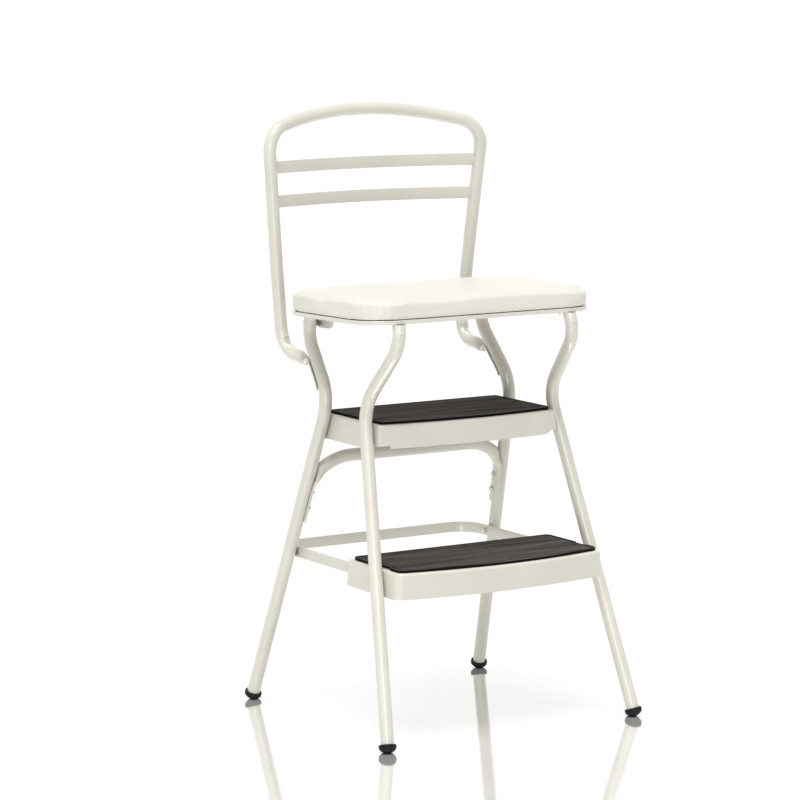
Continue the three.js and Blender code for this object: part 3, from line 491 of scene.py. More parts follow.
# legs and their rubber feet
leg = {
    "footSpread": 198.7, "waistSpread": 49.3, "waistHeight": 468.5, "waistBend": 60,
    "shoulderSpread": 128.5, "shoulderHeight": 562.9, "shoulderBend": 48,
    "headHeight": 600, "topLevel": 587, "mouthDepth": 14, "cadHeadSpread": 115,
    "front": {"foot": 213.5, "top": 146.5, "cut": 591.2, "headSpread": 115},
    "rear": {"foot": 203.6, "top": 148.3, "cut": 581.5, "headSpread": 105},
}
foot = {"dome": 15, "radius": 12.6, "height": 12.4, "flat": 0.8, "floor": 5, "lip": 1.1, "groove": 0.45,
        "grooveAt": (4.6, 4.0), "innerLip": 0.66, "sides": 40}


def legHalfWidth(end, height):
    wide = leg[end]
    return wide["foot"] + (wide["top"] - wide["foot"]) * height / leg["topLevel"]


def legPoint(end, side, spread, height):
    return Vector((sides[side] * legHalfWidth(end, height), ends[end] * spread, height))


def legPlaces(end, side, headSpread):
    base = legPoint(end, side, leg["footSpread"], 0)
    waist = legPoint(end, side, leg["waistSpread"], leg["waistHeight"])
    upwards = (waist - base).normalized()
    capCentre = base + upwards * (foot["dome"] - foot["flat"]) / upwards.z
    start = capCentre + upwards * (foot["floor"] + tube["gap"] - foot["dome"])
    places = roundedRoute([
        (start, 0), (waist, leg["waistBend"]),
        (legPoint(end, side, leg["shoulderSpread"], leg["shoulderHeight"]), leg["shoulderBend"]),
        (legPoint(end, side, headSpread, leg["headHeight"]), 0),
    ])
    return places, capCentre, upwards


def legAt(end, side, height):
    # a place on the CAD leg's middle line, which carries the fixings, and the heading there
    places = legPlaces(end, side, leg["cadHeadSpread"])[0]
    above = next(i for i, place in enumerate(places) if place.z > height)
    low, high = places[above - 1], places[above]
    return low.lerp(high, (height - low.z) / (high.z - low.z)), (high - low).normalized()


def legLean(end):
    return (leg[end]["foot"] - leg[end]["top"]) / leg["topLevel"]


def clearHalfWidth(end, height):
    # half the room between the two legs of one end
    return legHalfWidth(end, height) - tube["radius"] * math.hypot(1, legLean(end))


def addMouth(bm, rim, inward):
    # turns an open tube end into a real wall with a dark bore
    corners = [v.co for e in rim for v in e.verts]
    middle = sum(corners, Vector()) / len(corners)
    ring, edges = grown(bm, rim)
    share = 1 - tube["wall"] / tube["radius"]
    for v in ring:
        v.co = middle + (v.co - middle) * share
    ring, edges = grown(bm, edges)
    bmesh.ops.translate(bm, vec=inward * leg["mouthDepth"], verts=ring)
    closeRims(bm, [edges])


def buildLeg(end, side):
    places = legPlaces(end, side, leg[end]["headSpread"])[0]
    bm = bmesh.new()
    start, _ = sweepTube(bm, stationsOf(places, (0, 1, 0)))
    closeRims(bm, [start])
    rim = onlyEdges(sliced(bm, (0, 0, leg[end]["cut"]), (0, 0, 1), clear_outer=True))
    addMouth(bm, rim, -headingAt(places, len(places) - 1))
    finishPiece(bm, f"{end}_leg_{side}")


def buildFoot(end, side):
    _, capCentre, upwards = legPlaces(end, side, leg[end]["headSpread"])
    dome, radius, lip, innerLip = foot["dome"], foot["radius"], foot["lip"], foot["innerLip"]
    edge = math.degrees(math.asin(radius / dome))
    rim, floor = foot["height"] - dome, foot["floor"] - dome
    grooveLow, grooveHigh = foot["grooveAt"]
    bore = tube["radius"] + tube["gap"]
    profile = [(0, -dome)]
    profile += arcPoints(dome, -90, -90 + edge, 12)[1:]
    profile += [(radius - foot["groove"], rim - grooveLow), (radius, rim - grooveHigh)]
    profile += arcPoints(lip, 0, 90, 4, (radius - lip, rim - lip))
    profile += arcPoints(innerLip, 90, 180, 3, (bore + innerLip, rim - innerLip))
    profile += [(bore, floor), (0, floor)]
    bm = bmesh.new()
    spun(bm, profile, capCentre, upwards, foot["sides"])
    closeRims(bm, [onlyEdges(sliced(bm, (0, 0, 0), (0, 0, -1), clear_outer=True))])
    finishPiece(bm, f"{end}_foot_{side}", finish=("blackRubber",), sharp=50)


for end in ends:
    for side in sides:
        buildLeg(end, side)
        buildFoot(end, side)
print("legs and feet made")


# back: bent tube with pressed ends, and two slats
back = {
    "tabHalfThick": 1.5, "tabHalfWide": 13.4, "tabEndRise": 7.5, "tabBend": 12, "pressLength": 32, "pressDelay": 7,
    "foot": (104, 516), "heel": (156.8, 184.4, 523), "heelBend": 38, "mid": (169.8, 180.9, 660), "midBend": 1500,
    "top": (187.8, 170.8, 847), "topBend": 38, "longest": 2.5, "endRound": 4, "endTaper": 0.3, "widthLead": 1.4,
    "crestRise": 26.4, "crestSpread": 212.5, "crestDrop": 18, "crestBow": 27, "crestHalfSpan": 150,
    "crestSteps": 36,
    "outerFrom": -4, "outerTo": 7,  # from the end of the tab, where the outside of the heel stands out fully
    "dent": 9, "dentFrom": 6, "dentReach": 21, "dentPower": 1.3,
    "marks": 0.8, "marksAt": 12, "marksReach": 16, "marksEvery": 3, "marksPower": 3,
}
slat = {"tall": 18, "thick": 1.8, "bow": 30, "rounding": 0.7, "steps": 40, "drops": {"upper": 53.2, "lower": 103.5},
        "weld": 1.3, "weldGap": 0.1, "weldEnds": 1.5, "weldProud": 0.3, "weldRear": 0.6}


def backCorners(side):
    offset = tube["radius"] + tube["gap"] + back["tabHalfThick"]
    upperRise = (leg["shoulderSpread"] - leg["waistSpread"]) / (leg["shoulderHeight"] - leg["waistHeight"])
    lowerRise = (leg["waistSpread"] - leg["footSpread"]) / leg["waistHeight"]
    cornerHeight = leg["waistHeight"] + offset * (
        math.hypot(1, lowerRise) - math.hypot(1, upperRise)) / (upperRise - lowerRise)

    def onLeg(rise, height):
        spread = leg["waistSpread"] + rise * (height - leg["waistHeight"]) + offset * math.hypot(1, rise)
        return at(legHalfWidth("rear", height), spread, height)

    def at(halfWidth, spread, height):
        return Vector((sides[side] * halfWidth, spread, height))

    return [  # the end of the tube follows the leg
        (onLeg(lowerRise, leg["waistHeight"] - 2 * leg["waistBend"]), 0),
        (onLeg(upperRise, cornerHeight), leg["waistBend"] - offset),
        (at(legHalfWidth("rear", back["foot"][1]), *back["foot"]), back["tabBend"]),
        (at(*back["heel"]), back["heelBend"]),
        (at(*back["mid"]), back["midBend"]),
        (at(*back["top"]), back["topBend"]),
    ]


def crestCorners():
    corners = []
    for k in range(back["crestSteps"] + 1):
        share = 2 * k / back["crestSteps"] - 1
        height = back["top"][2] + back["crestRise"] - back["crestDrop"] * share * share
        spread = back["crestSpread"] - back["crestBow"] * share * share
        corners.append((Vector((share * back["crestHalfSpan"], spread, height)), 0))
    return corners


def heelMarks(places):
    def ripple(i, c):
        # the inside of the heel is dented, with small crush marks
        place = places[i]
        away = (place - Vector((math.copysign(back["heel"][0], place.x), *back["heel"][1:]))).length
        near = max(0, 1 - abs(away - back["marksAt"]) / back["marksReach"])
        dent = back["dent"] * (1 - smoothShare(away, back["dentFrom"], back["dentReach"]))
        marks = back["marks"] * near * math.cos(2 * math.pi * i / back["marksEvery"])
        inner = max(0, -c)
        return marks * inner ** back["marksPower"] - dent * inner ** back["dentPower"]

    return ripple


def buildBackTube():
    left, right = backCorners("left"), backCorners("right")
    tabEnd = leg["waistHeight"] + back["tabEndRise"]
    places = trimmedBelow(roundedRoute(left + crestCorners() + right[::-1]), tabEnd)
    places = spaced(trimmedBelow(places[::-1], tabEnd)[::-1], back["longest"])
    travelled = [0]
    for i in range(1, len(places)):
        travelled.append(travelled[-1] + (places[i] - places[i - 1]).length)
    tabLine = left[2][0] - places[0]
    turn = tabLine.angle(left[3][0] - left[2][0])
    tabLength = tabLine.length - back["tabBend"] * math.tan(turn / 2) + back["pressDelay"]
    stations = stationsOf(places, headingAt(places, 0).cross(Vector((1, 0, 0))))
    for i in range((len(places) + 1) // 2, len(places)):
        mirrored = stations[len(places) - 1 - i][2]
        stations[i][2] = Vector((-mirrored.x, mirrored.y, mirrored.z))
    for station, gone in zip(stations, travelled):
        fromEnd = min(gone, travelled[-1] - gone)
        roundness = smoothShare(fromEnd, tabLength, tabLength + back["pressLength"])
        station[3] = back["tabHalfThick"] + (tube["radius"] - back["tabHalfThick"]) * roundness
        station[4] = back["tabHalfWide"] + (tube["radius"] - back["tabHalfWide"]) * min(
            1, roundness * back["widthLead"])
        station[4] *= 1 - back["endTaper"] * max(0, 1 - fromEnd / back["endRound"]) ** 2
        station.append(-(1 - roundness) ** 2 / (tube["radius"] + tube["gap"] + back["tabHalfThick"]))
        outer = smoothShare(fromEnd, tabLength + back["outerFrom"], tabLength + back["outerTo"])
        station[0] = station[0] + station[2] * (tube["radius"] - station[3]) * outer
    bm = bmesh.new()
    closeRims(bm, sweepTube(bm, stations, ripple=heelMarks(places)))
    finishPiece(bm, "back_tube")


def uprightAt(height):
    (midX, midY, midZ), (topX, topY, topZ) = back["mid"], back["top"]
    share = (height - midZ) / (topZ - midZ)
    return midX + (topX - midX) * share, midY + (topY - midY) * share


def buildSlat(name, drop):
    height = back["top"][2] - drop
    halfWidth, spread = uprightAt(height - slat["tall"] / 2)
    reach = halfWidth - tube["radius"] - tube["gap"]
    places = []
    for k in range(slat["steps"] + 1):
        share = 2 * k / slat["steps"] - 1
        places.append(Vector((share * reach, spread + slat["bow"] * (1 - share * share), height)))
    bm = bmesh.new()
    sweepBar(bm, places, slat["thick"], slat["tall"], slat["rounding"])
    finishPiece(bm, f"{name}_slat", sharp=50)
    bm = bmesh.new()
    for sign in sides.values():
        for face in (-1, 1):
            y = spread + face * (slat["thick"] / 2 + slat["weldProud"]) + slat["weldRear"]
            low = Vector((sign * (reach + slat["weldGap"]), y, height - slat["tall"] / 2 + slat["weldEnds"]))
            high = low + Vector((sign * slat["weld"], 0, slat["tall"] - 2 * slat["weldEnds"]))
            weldBead(bm, low, high, slat["weld"], height + sign + face)
    finishPiece(bm, None, f"{name}SlatWelds")


buildBackTube()
for name, drop in slat["drops"].items():
    buildSlat(name, drop)
print("back made")


# arched brace and rear strap
brace = {"top": 376.3, "bend": 73, "bendHalfSpan": 103, "tabHalfThick": 1.75, "tabHalfWide": 13.6, "length": 96.3,
         "endRound": 4, "endTaper": 0.35, "curlPower": 1.5, "screwDrops": {"upper": 51.8, "lower": 75.8}}


def buildBrace():
    base = legPoint("rear", "right", leg["footSpread"], 0)
    waist = legPoint("rear", "right", leg["waistSpread"], leg["waistHeight"])
    slope = (base.y - waist.y) / leg["waistHeight"]
    stretch = math.hypot(1, slope)

    def place(x, up):
        # the arch lies in the plane of the two rear legs
        return Vector((x, base.y - slope * up / stretch, up / stretch))

    lean = (base.x - waist.x) / (leg["waistHeight"] * stretch)
    wallFoot = base.x - (tube["radius"] + tube["gap"]) * math.hypot(1, lean)
    centreUp = brace["top"] * stretch - brace["bend"]
    inner = brace["bend"] - tube["radius"]
    curl = 1 / (tube["radius"] + tube["gap"] + brace["tabHalfThick"])
    half = []
    angle = math.pi / 2
    while angle > 0:  # the bend, pressed thinner as it nears the leg
        toWall = (wallFoot - lean * centreUp - brace["bendHalfSpan"]) / (math.cos(angle) + lean * math.sin(angle))
        outer = min(brace["bend"] + tube["radius"], toWall)
        thin = (outer - inner) / 2
        if thin < brace["tabHalfThick"]:
            break
        middle = (outer + inner) / 2
        at = place(brace["bendHalfSpan"] + middle * math.cos(angle), centreUp + middle * math.sin(angle))
        across = (place(math.cos(angle), math.sin(angle)) - place(0, 0)).normalized()
        roundness = (thin - brace["tabHalfThick"]) / (tube["radius"] - brace["tabHalfThick"])
        broad = brace["tabHalfWide"] + (tube["radius"] - brace["tabHalfWide"]) * roundness
        half.append((at, across, thin, broad, (1 - roundness) ** brace["curlPower"] * curl))
        angle -= tube["bendStep"]
    tabMiddle = brace["tabHalfThick"] * math.hypot(1, lean)
    tabAcross = (place(1, lean) - place(0, 0)).normalized()
    start, finish = half[-1][0].z - brace["tabHalfWide"], brace["top"] - brace["length"]
    ending = [finish + brace["endRound"] * share for share in (1, 0.6, 0.2, 0)]
    for height in [start, (start + finish) / 2] + ending:
        at = place(wallFoot - tabMiddle - lean * height * stretch, height * stretch)
        clipped = 1 - brace["endTaper"] * max(0, 1 - (height - finish) / brace["endRound"]) ** 2
        half.append((at, tabAcross, brace["tabHalfThick"], brace["tabHalfWide"] * clipped, curl))
    flip = Matrix.Diagonal((-1, 1, 1))
    full = [(flip @ at, flip @ across, *section) for at, across, *section in half[::-1]] + half
    places = [station[0] for station in full]
    stations = [[at, headingAt(places, i), *others] for i, (at, *others) in enumerate(full)]
    bm = bmesh.new()
    closeRims(bm, sweepTube(bm, stations))
    finishPiece(bm, "arched_brace")


def strapMiddle():
    return strap["top"] - strap["tall"] / 2


def strapHalfWidth():
    return clearHalfWidth("rear", strapMiddle()) - strap["gap"]


def buildStrap():
    outer = strapHalfWidth() - strap["thick"] / 2
    rear, height = strap["rear"] - strap["thick"] / 2, strapMiddle()
    bend = strap["corner"] - strap["thick"] / 2
    places = spaced(roundedRoute([
        ((outer, -strap["front"], height), 0), ((outer, rear, height), bend),
        ((-outer, rear, height), bend), ((-outer, -strap["front"], height), 0),
    ]), strap["longest"])
    bm = bmesh.new()
    sweepBar(bm, places, strap["thick"], strap["tall"], strap["rounding"])
    finishPiece(bm, "rear_strap", sharp=50)


buildBrace()
buildStrap()
print("brace and strap made")


# treads: steel trays with ribbed rubber mats
tray = {"sheet": 1.2, "lipBend": 3.8, "cornerSteps": 6, "bowCuts": 15, "rimBevel": 0.35, "rimAngle": 50,
        "rearCut": 0.3}
mat = {"thick": 4.4, "chamfer": 0.9, "lip": 3, "lipSlope": 0.28, "recess": 0.9, "edgeBevel": 0.5, "edgeAngle": 60,
       "notchBend": 1.5,
       "ribPitch": 7, "ribWide": 2.4, "ribTall": 0.6, "ribMargin": 0.6, "ribEdge": 0.22, "ribSunk": 0.1}
treads = {  # a mat's corner stays above its chamfer and lip together, or its field folds over
    "upper": {"level": 443, "front": 78, "bow": 14, "rear": 76, "corner": 5, "rearCorner": 4, "tongue": 136,
              "aprons": {"corner": 30, "front": 34.5, "side": 36.6}, "sideGap": 0.4, "matMargin": 6.5,
              "matCorner": 4.2, "notch": None},
    "lower": {"level": 245, "front": 165, "bow": 20, "rear": -30, "corner": 9, "rearCorner": 3.6, "tongue": 150,
              "aprons": {"corner": 37.4, "front": 37.4, "side": 37.4}, "sideGap": 0.6, "matMargin": 5,
              "matCorner": 8, "notch": (28, 4)},
}


def treadHalfWidth(name):
    tread = treads[name]
    clear = [clearHalfWidth("front", tread["level"])]
    if name == "upper":
        clear.append(clearHalfWidth("rear", tread["level"]))
    return min(clear) - tread["sideGap"]


def trayWall(name, drop):
    # half the width of a tray at a depth below its top, as its aprons lean out with the legs
    return treadHalfWidth(name) + legLean("rear") * drop


def treadFace(bm, halfWidth, front, rear, bow, corner, rearCorner, notch=None):
    # a flat face with a bowed front; notch is (front, rear, depth) on each side
    right = [(halfWidth, rear)]
    if notch:
        low, high, depth = notch
        right += [(halfWidth, high), (halfWidth - depth, high), (halfWidth - depth, low), (halfWidth, low)]
    right.append((halfWidth, -front))
    outline = right + [(-x, y) for x, y in right[::-1]]
    verts = [bm.verts.new((x, y, 0)) for x, y in outline]
    bm.faces.new(verts)
    if bow:
        frontEdge = bm.edges.get((verts[len(right) - 1], verts[len(right)]))
        added = bmesh.ops.subdivide_edges(bm, edges=[frontEdge], cuts=tray["bowCuts"])["geom_inner"]
        for v in onlyVerts(added):
            v.co.y -= bow * (1 - (v.co.x / halfWidth) ** 2)
    near = 10 * same
    for spot, radius in (((halfWidth, -front), corner), ((halfWidth, rear), rearCorner)):
        picked = [v for v in bm.verts if (Vector((abs(v.co.x), v.co.y)) - Vector(spot)).length < near]
        bevelled(bm, picked, radius, tray["cornerSteps"], "VERTICES")
    if notch:
        inner = [v for v in bm.verts if low - near < v.co.y < high + near
                 and abs(abs(v.co.x) - (halfWidth - depth)) < near]
        bevelled(bm, inner, mat["notchBend"], 3, "VERTICES")
    for face in bm.faces:
        face.normal_update()
        if face.normal.z < 0:
            bmesh.ops.reverse_faces(bm, faces=[face])


def dropAprons(bm, tread, halfWidth):
    lean = legLean("rear")
    edges, depth = bm.edges[:], 0
    for row in sorted(set(tread["aprons"].values())):
        ring, edges = grown(bm, edges)
        stretch = (halfWidth + lean * row) / (halfWidth + lean * depth)
        bmesh.ops.scale(bm, vec=(stretch, 1, 1), verts=ring)
        bmesh.ops.translate(bm, vec=(0, 0, depth - row), verts=ring)
        depth = row


def stepAprons(bm, tread):
    # cuts the aprons back to their own depths: a tongue in front, corners beside it, and the sides
    for sign in sides.values():
        sliced(bm, (sign * tread["tongue"], 0, 0), (1, 0, 0), dist=same)
    legY = legAt("front", "right", tread["level"])[0].y
    sliced(bm, (0, legY, 0), (0, 1, 0), dist=same)
    extra = []
    for face in bm.faces:
        middle = face.calc_center_median()
        kind = "side"
        if middle.y < legY:
            kind = "front" if abs(middle.x) < tread["tongue"] else "corner"
        if middle.z < tread["level"] - tread["aprons"][kind]:
            extra.append(face)
    bmesh.ops.delete(bm, geom=extra, context="FACES")


def buildTray(name):
    tread, halfWidth = treads[name], treadHalfWidth(name)
    level = tread["level"]
    bm = bmesh.new()
    treadFace(bm, halfWidth, tread["front"], tread["rear"], tread["bow"], tread["corner"], tread["rearCorner"])
    bmesh.ops.translate(bm, vec=(0, 0, level), verts=bm.verts)
    dropAprons(bm, tread, halfWidth)
    if len(set(tread["aprons"].values())) > 1:
        stepAprons(bm, tread)
    if name == "lower":  # its rear is open
        middles = [(face, face.calc_center_median()) for face in bm.faces]
        rearWall = [face for face, middle in middles
                    if middle.y > tread["rear"] - tray["rearCut"] and middle.z < level - same]
        bmesh.ops.delete(bm, geom=rearWall, context="FACES")
    bends = [e for e in bm.edges if all(abs(v.co.z - level) < same for v in e.verts)
             and len(e.link_faces) == 2 and e.calc_face_angle(0) > 1]
    bevelled(bm, bends, tray["lipBend"], 5)
    piece = finishPiece(bm, f"{name}_tread_tray", f"{name}Tray", closed=False)
    addSheet(piece, tray["sheet"])
    softenRim(piece, tray["rimBevel"], tray["rimAngle"])


def matRibs(halfWidth, front, rear, bow, corner):
    ribs = bmesh.new()
    treadFace(ribs, halfWidth, front - mat["lip"] - mat["ribMargin"], rear - mat["lip"] - mat["ribMargin"], bow,
              corner, corner)
    y = -front - bow
    while y < rear:
        for edge in (y, y + mat["ribWide"]):
            sliced(ribs, (0, edge, 0), (0, 1, 0), dist=same / 10)
        y += mat["ribPitch"]
    grooves = [face for face in ribs.faces
               if (face.calc_center_median().y + front + bow) % mat["ribPitch"] > mat["ribWide"]]
    bmesh.ops.delete(ribs, geom=grooves, context="FACES")
    thickened(ribs, mat["ribTall"] + mat["ribSunk"])
    bmesh.ops.recalc_face_normals(ribs, faces=ribs.faces)
    upper = [e for e in ribs.edges if all(v.co.z > mat["ribTall"] / 2 for v in e.verts)]
    bevelled(ribs, upper, mat["ribEdge"], 1)
    return ribs


def buildMat(name):
    tread = treads[name]
    margin, bow, corner = tread["matMargin"], tread["bow"], tread["matCorner"]
    halfWidth = treadHalfWidth(name) - margin
    front, rear = tread["front"] - margin, tread["rear"] - margin
    low = tread["level"] + tube["gap"]
    notch, notchDepth = None, 0
    if tread["notch"]:
        length, notchDepth = tread["notch"]
        middle = legAt("front", "right", tread["level"])[0].y
        notch = (middle - length / 2, middle + length / 2, notchDepth)
    bm = bmesh.new()
    treadFace(bm, halfWidth, front, rear, bow, corner, corner, notch)
    bmesh.ops.translate(bm, vec=(0, 0, low), verts=bm.verts)
    thickened(bm, mat["thick"])
    rim = [e for e in bm.edges if all(v.co.z > low + mat["thick"] - same for v in e.verts)]
    chamfer = bevelled(bm, rim, mat["chamfer"], 2)
    bm.normal_update()
    field = [f for f in bm.faces if abs(f.normal.z) > levelNormal and f.calc_center_median().z > low + same]
    for share, depth in ((1 - mat["lipSlope"], 0), (mat["lipSlope"], -mat["recess"])):
        bmesh.ops.inset_region(bm, faces=field, thickness=mat["lip"] * share, depth=depth, use_even_offset=True)
    bmesh.ops.remove_doubles(bm, verts=bm.verts, dist=same)
    bmesh.ops.recalc_face_normals(bm, faces=bm.faces)
    # black edge rubber everywhere, the field rubber in the recess, and on the rim's chamfer the lighter rib rubber
    # as a painted highlight
    for faces, index in ((bm.faces, 0), (chamfer, 2), (field, 1)):
        for face in faces:
            if face.is_valid:
                face.material_index = index
    ribs = matRibs(halfWidth - (mat["lip"] + notchDepth + mat["ribMargin"]), front, rear, bow, corner)
    bmesh.ops.translate(ribs, vec=(0, 0, low + mat["thick"] - mat["recess"] - mat["ribSunk"]), verts=ribs.verts)
    for face in ribs.faces:
        face.material_index = 2
    held = bpy.data.meshes.new("ribs")
    ribs.to_mesh(held)
    ribs.free()
    bm.from_mesh(held)
    bpy.data.meshes.remove(held)
    piece = finishPiece(bm, f"{name}_tread_mat", f"{name}Mat", ("matEdge", "matField", "matRib"), closed=False)
    for face in piece.data.polygons:  # the long level faces are shaded flat, which hides their triangles
        face.use_smooth = abs(face.normal.z) < levelNormal
    softenRim(piece, mat["edgeBevel"], mat["edgeAngle"])


for name in treads:
    buildTray(name)
    buildMat(name)
print("treads made")


# seat: pan and cushion, in the leaning seat's own frame
seat = {"halfWidth": 200, "front": 123.5, "rear": 122, "corner": 54, "level": 594.6, "lean": 0.022,
        "sheet": 1.5, "rim": 5.7, "rimEdge": 1.3, "rimBevel": 0.4, "rimAngle": 60}
cushion = {
    "height": 26, "inset": -1.2, "swellRoom": 1, "topEdge": 2.5, "voxel": 3.5, "smoothing": 0.5, "gap": 0.8,
    "fill": 0.85, "crown": 5, "crownPower": 2.4, "drawn": 1.2, "drawnPower": 6, "drawnFade": 3,
    "under": 1.3, "underReach": 5, "underPower": 4, "edgeFade": 70,
    "backRoom": 28.6, "backSlope": 0.04, "backFrom": (120, 145), "backFree": 10,
    "frontEdge": [(-200, 27.5), (-146, 23.6), (-63, 23.2), (-5, 26), (55, 26), (140, 22.6), (200, 22.8)],
}
swelling = {"quality": 5, "mass": 0.3, "pressure": 3, "stiffness": 30, "bending": 3, "frames": 20,
            "heldBelow": 1.5, "sideGive": 0.3, "cap": 3.6}
seatPlace = Matrix.Translation((0, 0, seat["level"])) @ Matrix.Rotation(-math.atan(seat["lean"]), 4, "X")


def buildPan():
    bm = bmesh.new()
    treadFace(bm, seat["halfWidth"], seat["front"], seat["rear"], 0, seat["corner"], seat["corner"])
    ring, _ = grown(bm, bm.edges[:])
    bmesh.ops.translate(bm, vec=(0, 0, -seat["rim"]), verts=ring)
    bevelled(bm, [e for e in bm.edges if all(abs(v.co.z) < same for v in e.verts)], seat["rimEdge"], 4)
    bmesh.ops.transform(bm, matrix=seatPlace, verts=bm.verts)
    piece = finishPiece(bm, "seat_pan", body="seat", closed=False)
    addSheet(piece, seat["sheet"])
    softenRim(piece, seat["rimBevel"], seat["rimAngle"])


def frontEdgeHeight(x):
    table = cushion["frontEdge"]
    if x <= table[0][0]:
        return table[0][1]
    for (lowX, low), (highX, high) in zip(table, table[1:]):
        if x <= highX:
            return low + (high - low) * smoothShare(x, lowX, highX)
    return table[-1][1]


def evaluatedMesh(piece):
    return bpy.data.meshes.new_from_object(piece.evaluated_get(bpy.context.evaluated_depsgraph_get()))


def swell(piece):
    # cloth under pressure, its underside held, and no point moving further than the cap
    held = piece.vertex_groups.new(name="held")
    low = swelling["heldBelow"] * mm
    held.add([v.index for v in piece.data.vertices if v.co.z < low], 1, "REPLACE")
    cloth = piece.modifiers.new("cloth", "CLOTH")
    rules = cloth.settings
    rules.quality = swelling["quality"]
    rules.mass = swelling["mass"]
    rules.use_pressure = True
    rules.uniform_pressure_force = swelling["pressure"]
    rules.effector_weights.gravity = 0
    rules.vertex_group_mass = "held"
    rules.tension_stiffness = rules.compression_stiffness = swelling["stiffness"]
    rules.shear_stiffness = swelling["stiffness"] / 2
    rules.bending_stiffness = swelling["bending"]
    cloth.point_cache.frame_start = 1
    cloth.point_cache.frame_end = swelling["frames"]
    for step in range(1, swelling["frames"] + 1):
        scene.frame_set(step)
    swollen = evaluatedMesh(piece)
    piece.modifiers.remove(cloth)
    piece.vertex_groups.clear()
    cap = swelling["cap"] * mm
    for v, new in zip(piece.data.vertices, swollen.vertices):
        move = new.co - v.co
        move.xy *= swelling["sideGive"]  # the side band is stretched flat and gives less than the top
        if move.length > cap:
            move *= cap / move.length
        v.co += move
    bpy.data.meshes.remove(swollen)
    scene.frame_set(1)


def cushionBlock():
    # a soft-edged block, remeshed and swelled, in metres
    bm = bmesh.new()
    inset = cushion["inset"] + cushion["swellRoom"]
    treadFace(bm, seat["halfWidth"] - inset, seat["front"] - inset, seat["rear"] - inset, 0,
              seat["corner"] - inset, seat["corner"] - inset)
    thickened(bm, cushion["height"] - cushion["swellRoom"])
    bmesh.ops.recalc_face_normals(bm, faces=bm.faces)
    bevelled(bm, [e for e in bm.edges if all(v.co.z > same for v in e.verts)], cushion["topEdge"], 4)
    bmesh.ops.scale(bm, vec=(mm, mm, mm), verts=bm.verts)
    mesh = bpy.data.meshes.new("cushionBase")
    bm.to_mesh(mesh)
    bm.free()
    base = addObject("cushionBase", mesh)
    remesh = base.modifiers.new("voxels", "REMESH")
    remesh.mode = "VOXEL"
    remesh.voxel_size = cushion["voxel"] * mm
    smoothed = base.modifiers.new("smooth", "SMOOTH")
    smoothed.factor = cushion["smoothing"]
    smoothed.iterations = 1
    mesh = evaluatedMesh(base)
    base.modifiers.clear()
    base.data = mesh
    swell(base)
    bm = bmesh.new()
    bm.from_mesh(base.data)
    bpy.data.objects.remove(base)
    return bm


def buildCushion():
    bm = cushionBlock()
    bmesh.ops.scale(bm, vec=(1 / mm,) * 3, verts=bm.verts)
    power, fade, tuckPower = cushion["drawnPower"], cushion["drawnFade"], cushion["underPower"]
    for v in bm.verts:
        x, y, z = v.co
        up = min(1, max(0, z / cushion["height"]))
        farX, farY = min(1, abs(x) / seat["halfWidth"]), min(1, abs(y) / seat["front"])
        crown = cushion["crown"] * (1 - farX ** cushion["crownPower"]) * (1 - farY ** cushion["crownPower"]) * up
        near = smoothShare(-y, seat["front"] - cushion["edgeFade"], seat["front"])
        dip = (frontEdgeHeight(x) - cushion["height"]) * near * up
        drawn = cushion["drawn"] * math.sin(math.pi * up)  # the sides pull in between the corners
        tuck = cushion["under"] * max(0, 1 - z / cushion["underReach"]) ** 2
        x -= math.copysign(drawn * farX ** power * (1 - farY ** fade) + tuck * farX ** tuckPower, x)
        y -= math.copysign(drawn * farY ** power * (1 - farX ** fade) + tuck * farY ** tuckPower, y)
        # near the uprights the top is kept low, so that the lifted seat clears them
        room = cushion["backRoom"] + cushion["backSlope"] * (seat["rear"] - y)
        room += cushion["backFree"] * (1 - smoothShare(abs(x), *cushion["backFrom"]))
        v.co = (x, y, min(room, max(0, z) + crown + dip + cushion["gap"]))
    bmesh.ops.transform(bm, matrix=seatPlace, verts=bm.verts)
    piece = finishPiece(bm, "seat_cushion", "cushion", ("creamVinyl",), "seat", sharp=120)
    fine = piece.modifiers.new("fine", "SUBSURF")
    fine.levels = fine.render_levels = 1


buildPan()
buildCushion()
print("seat made")


# bars, ears and small parts
small = {"shank": 2.4, "head": 3.6, "brow": 0.12, "screwDome": 3.8, "rivetDome": 1.6, "grip": 3,
         "nutDome": 7.5, "nutTall": 3, "nutEdge": 0.3, "nutTop": 0.86, "capWide": 0.84, "capSunk": 0.2,
         "collar": 3.8, "collarGap": 0.1, "collarPress": 0.2, "strapSpacer": 4.5, "ringEdge": 0.4,
         "sides": 24, "hexSides": 6}
barEdge = {"radius": 0.5, "from": math.radians(40), "flat": math.radians(1)}
rivetDrops = {"upper": 17, "lower": 19}
tabScrewRises = {"lower": 26.5, "upper": 38.5}
hinge = {"height": 569.5, "spread": 121.84, "earGap": 9.4, "earSheet": 2, "head": 6, "headTall": 3.5,
         "headEdge": 0.6, "headTop": 0.88, "shank": 3, "spacer": 5}
bumper = {"radius": 7, "offset": 95, "spread": 46, "base": 1.6, "foot": 587.5, "tall": 6.3, "waist": 0.3,
          "roundTo": 0.55, "edge": 0.4}
railWelds = {"offset": 136.4, "radius": 1.6, "runs": [(-108.8, 586.5, 590.6), (112, 572, 580)]}
trayWelds = {"radius": 1.5, "inside": 1.6, "behind": 1.4, "top": (4, 9), "bottom": (13, 1.5)}


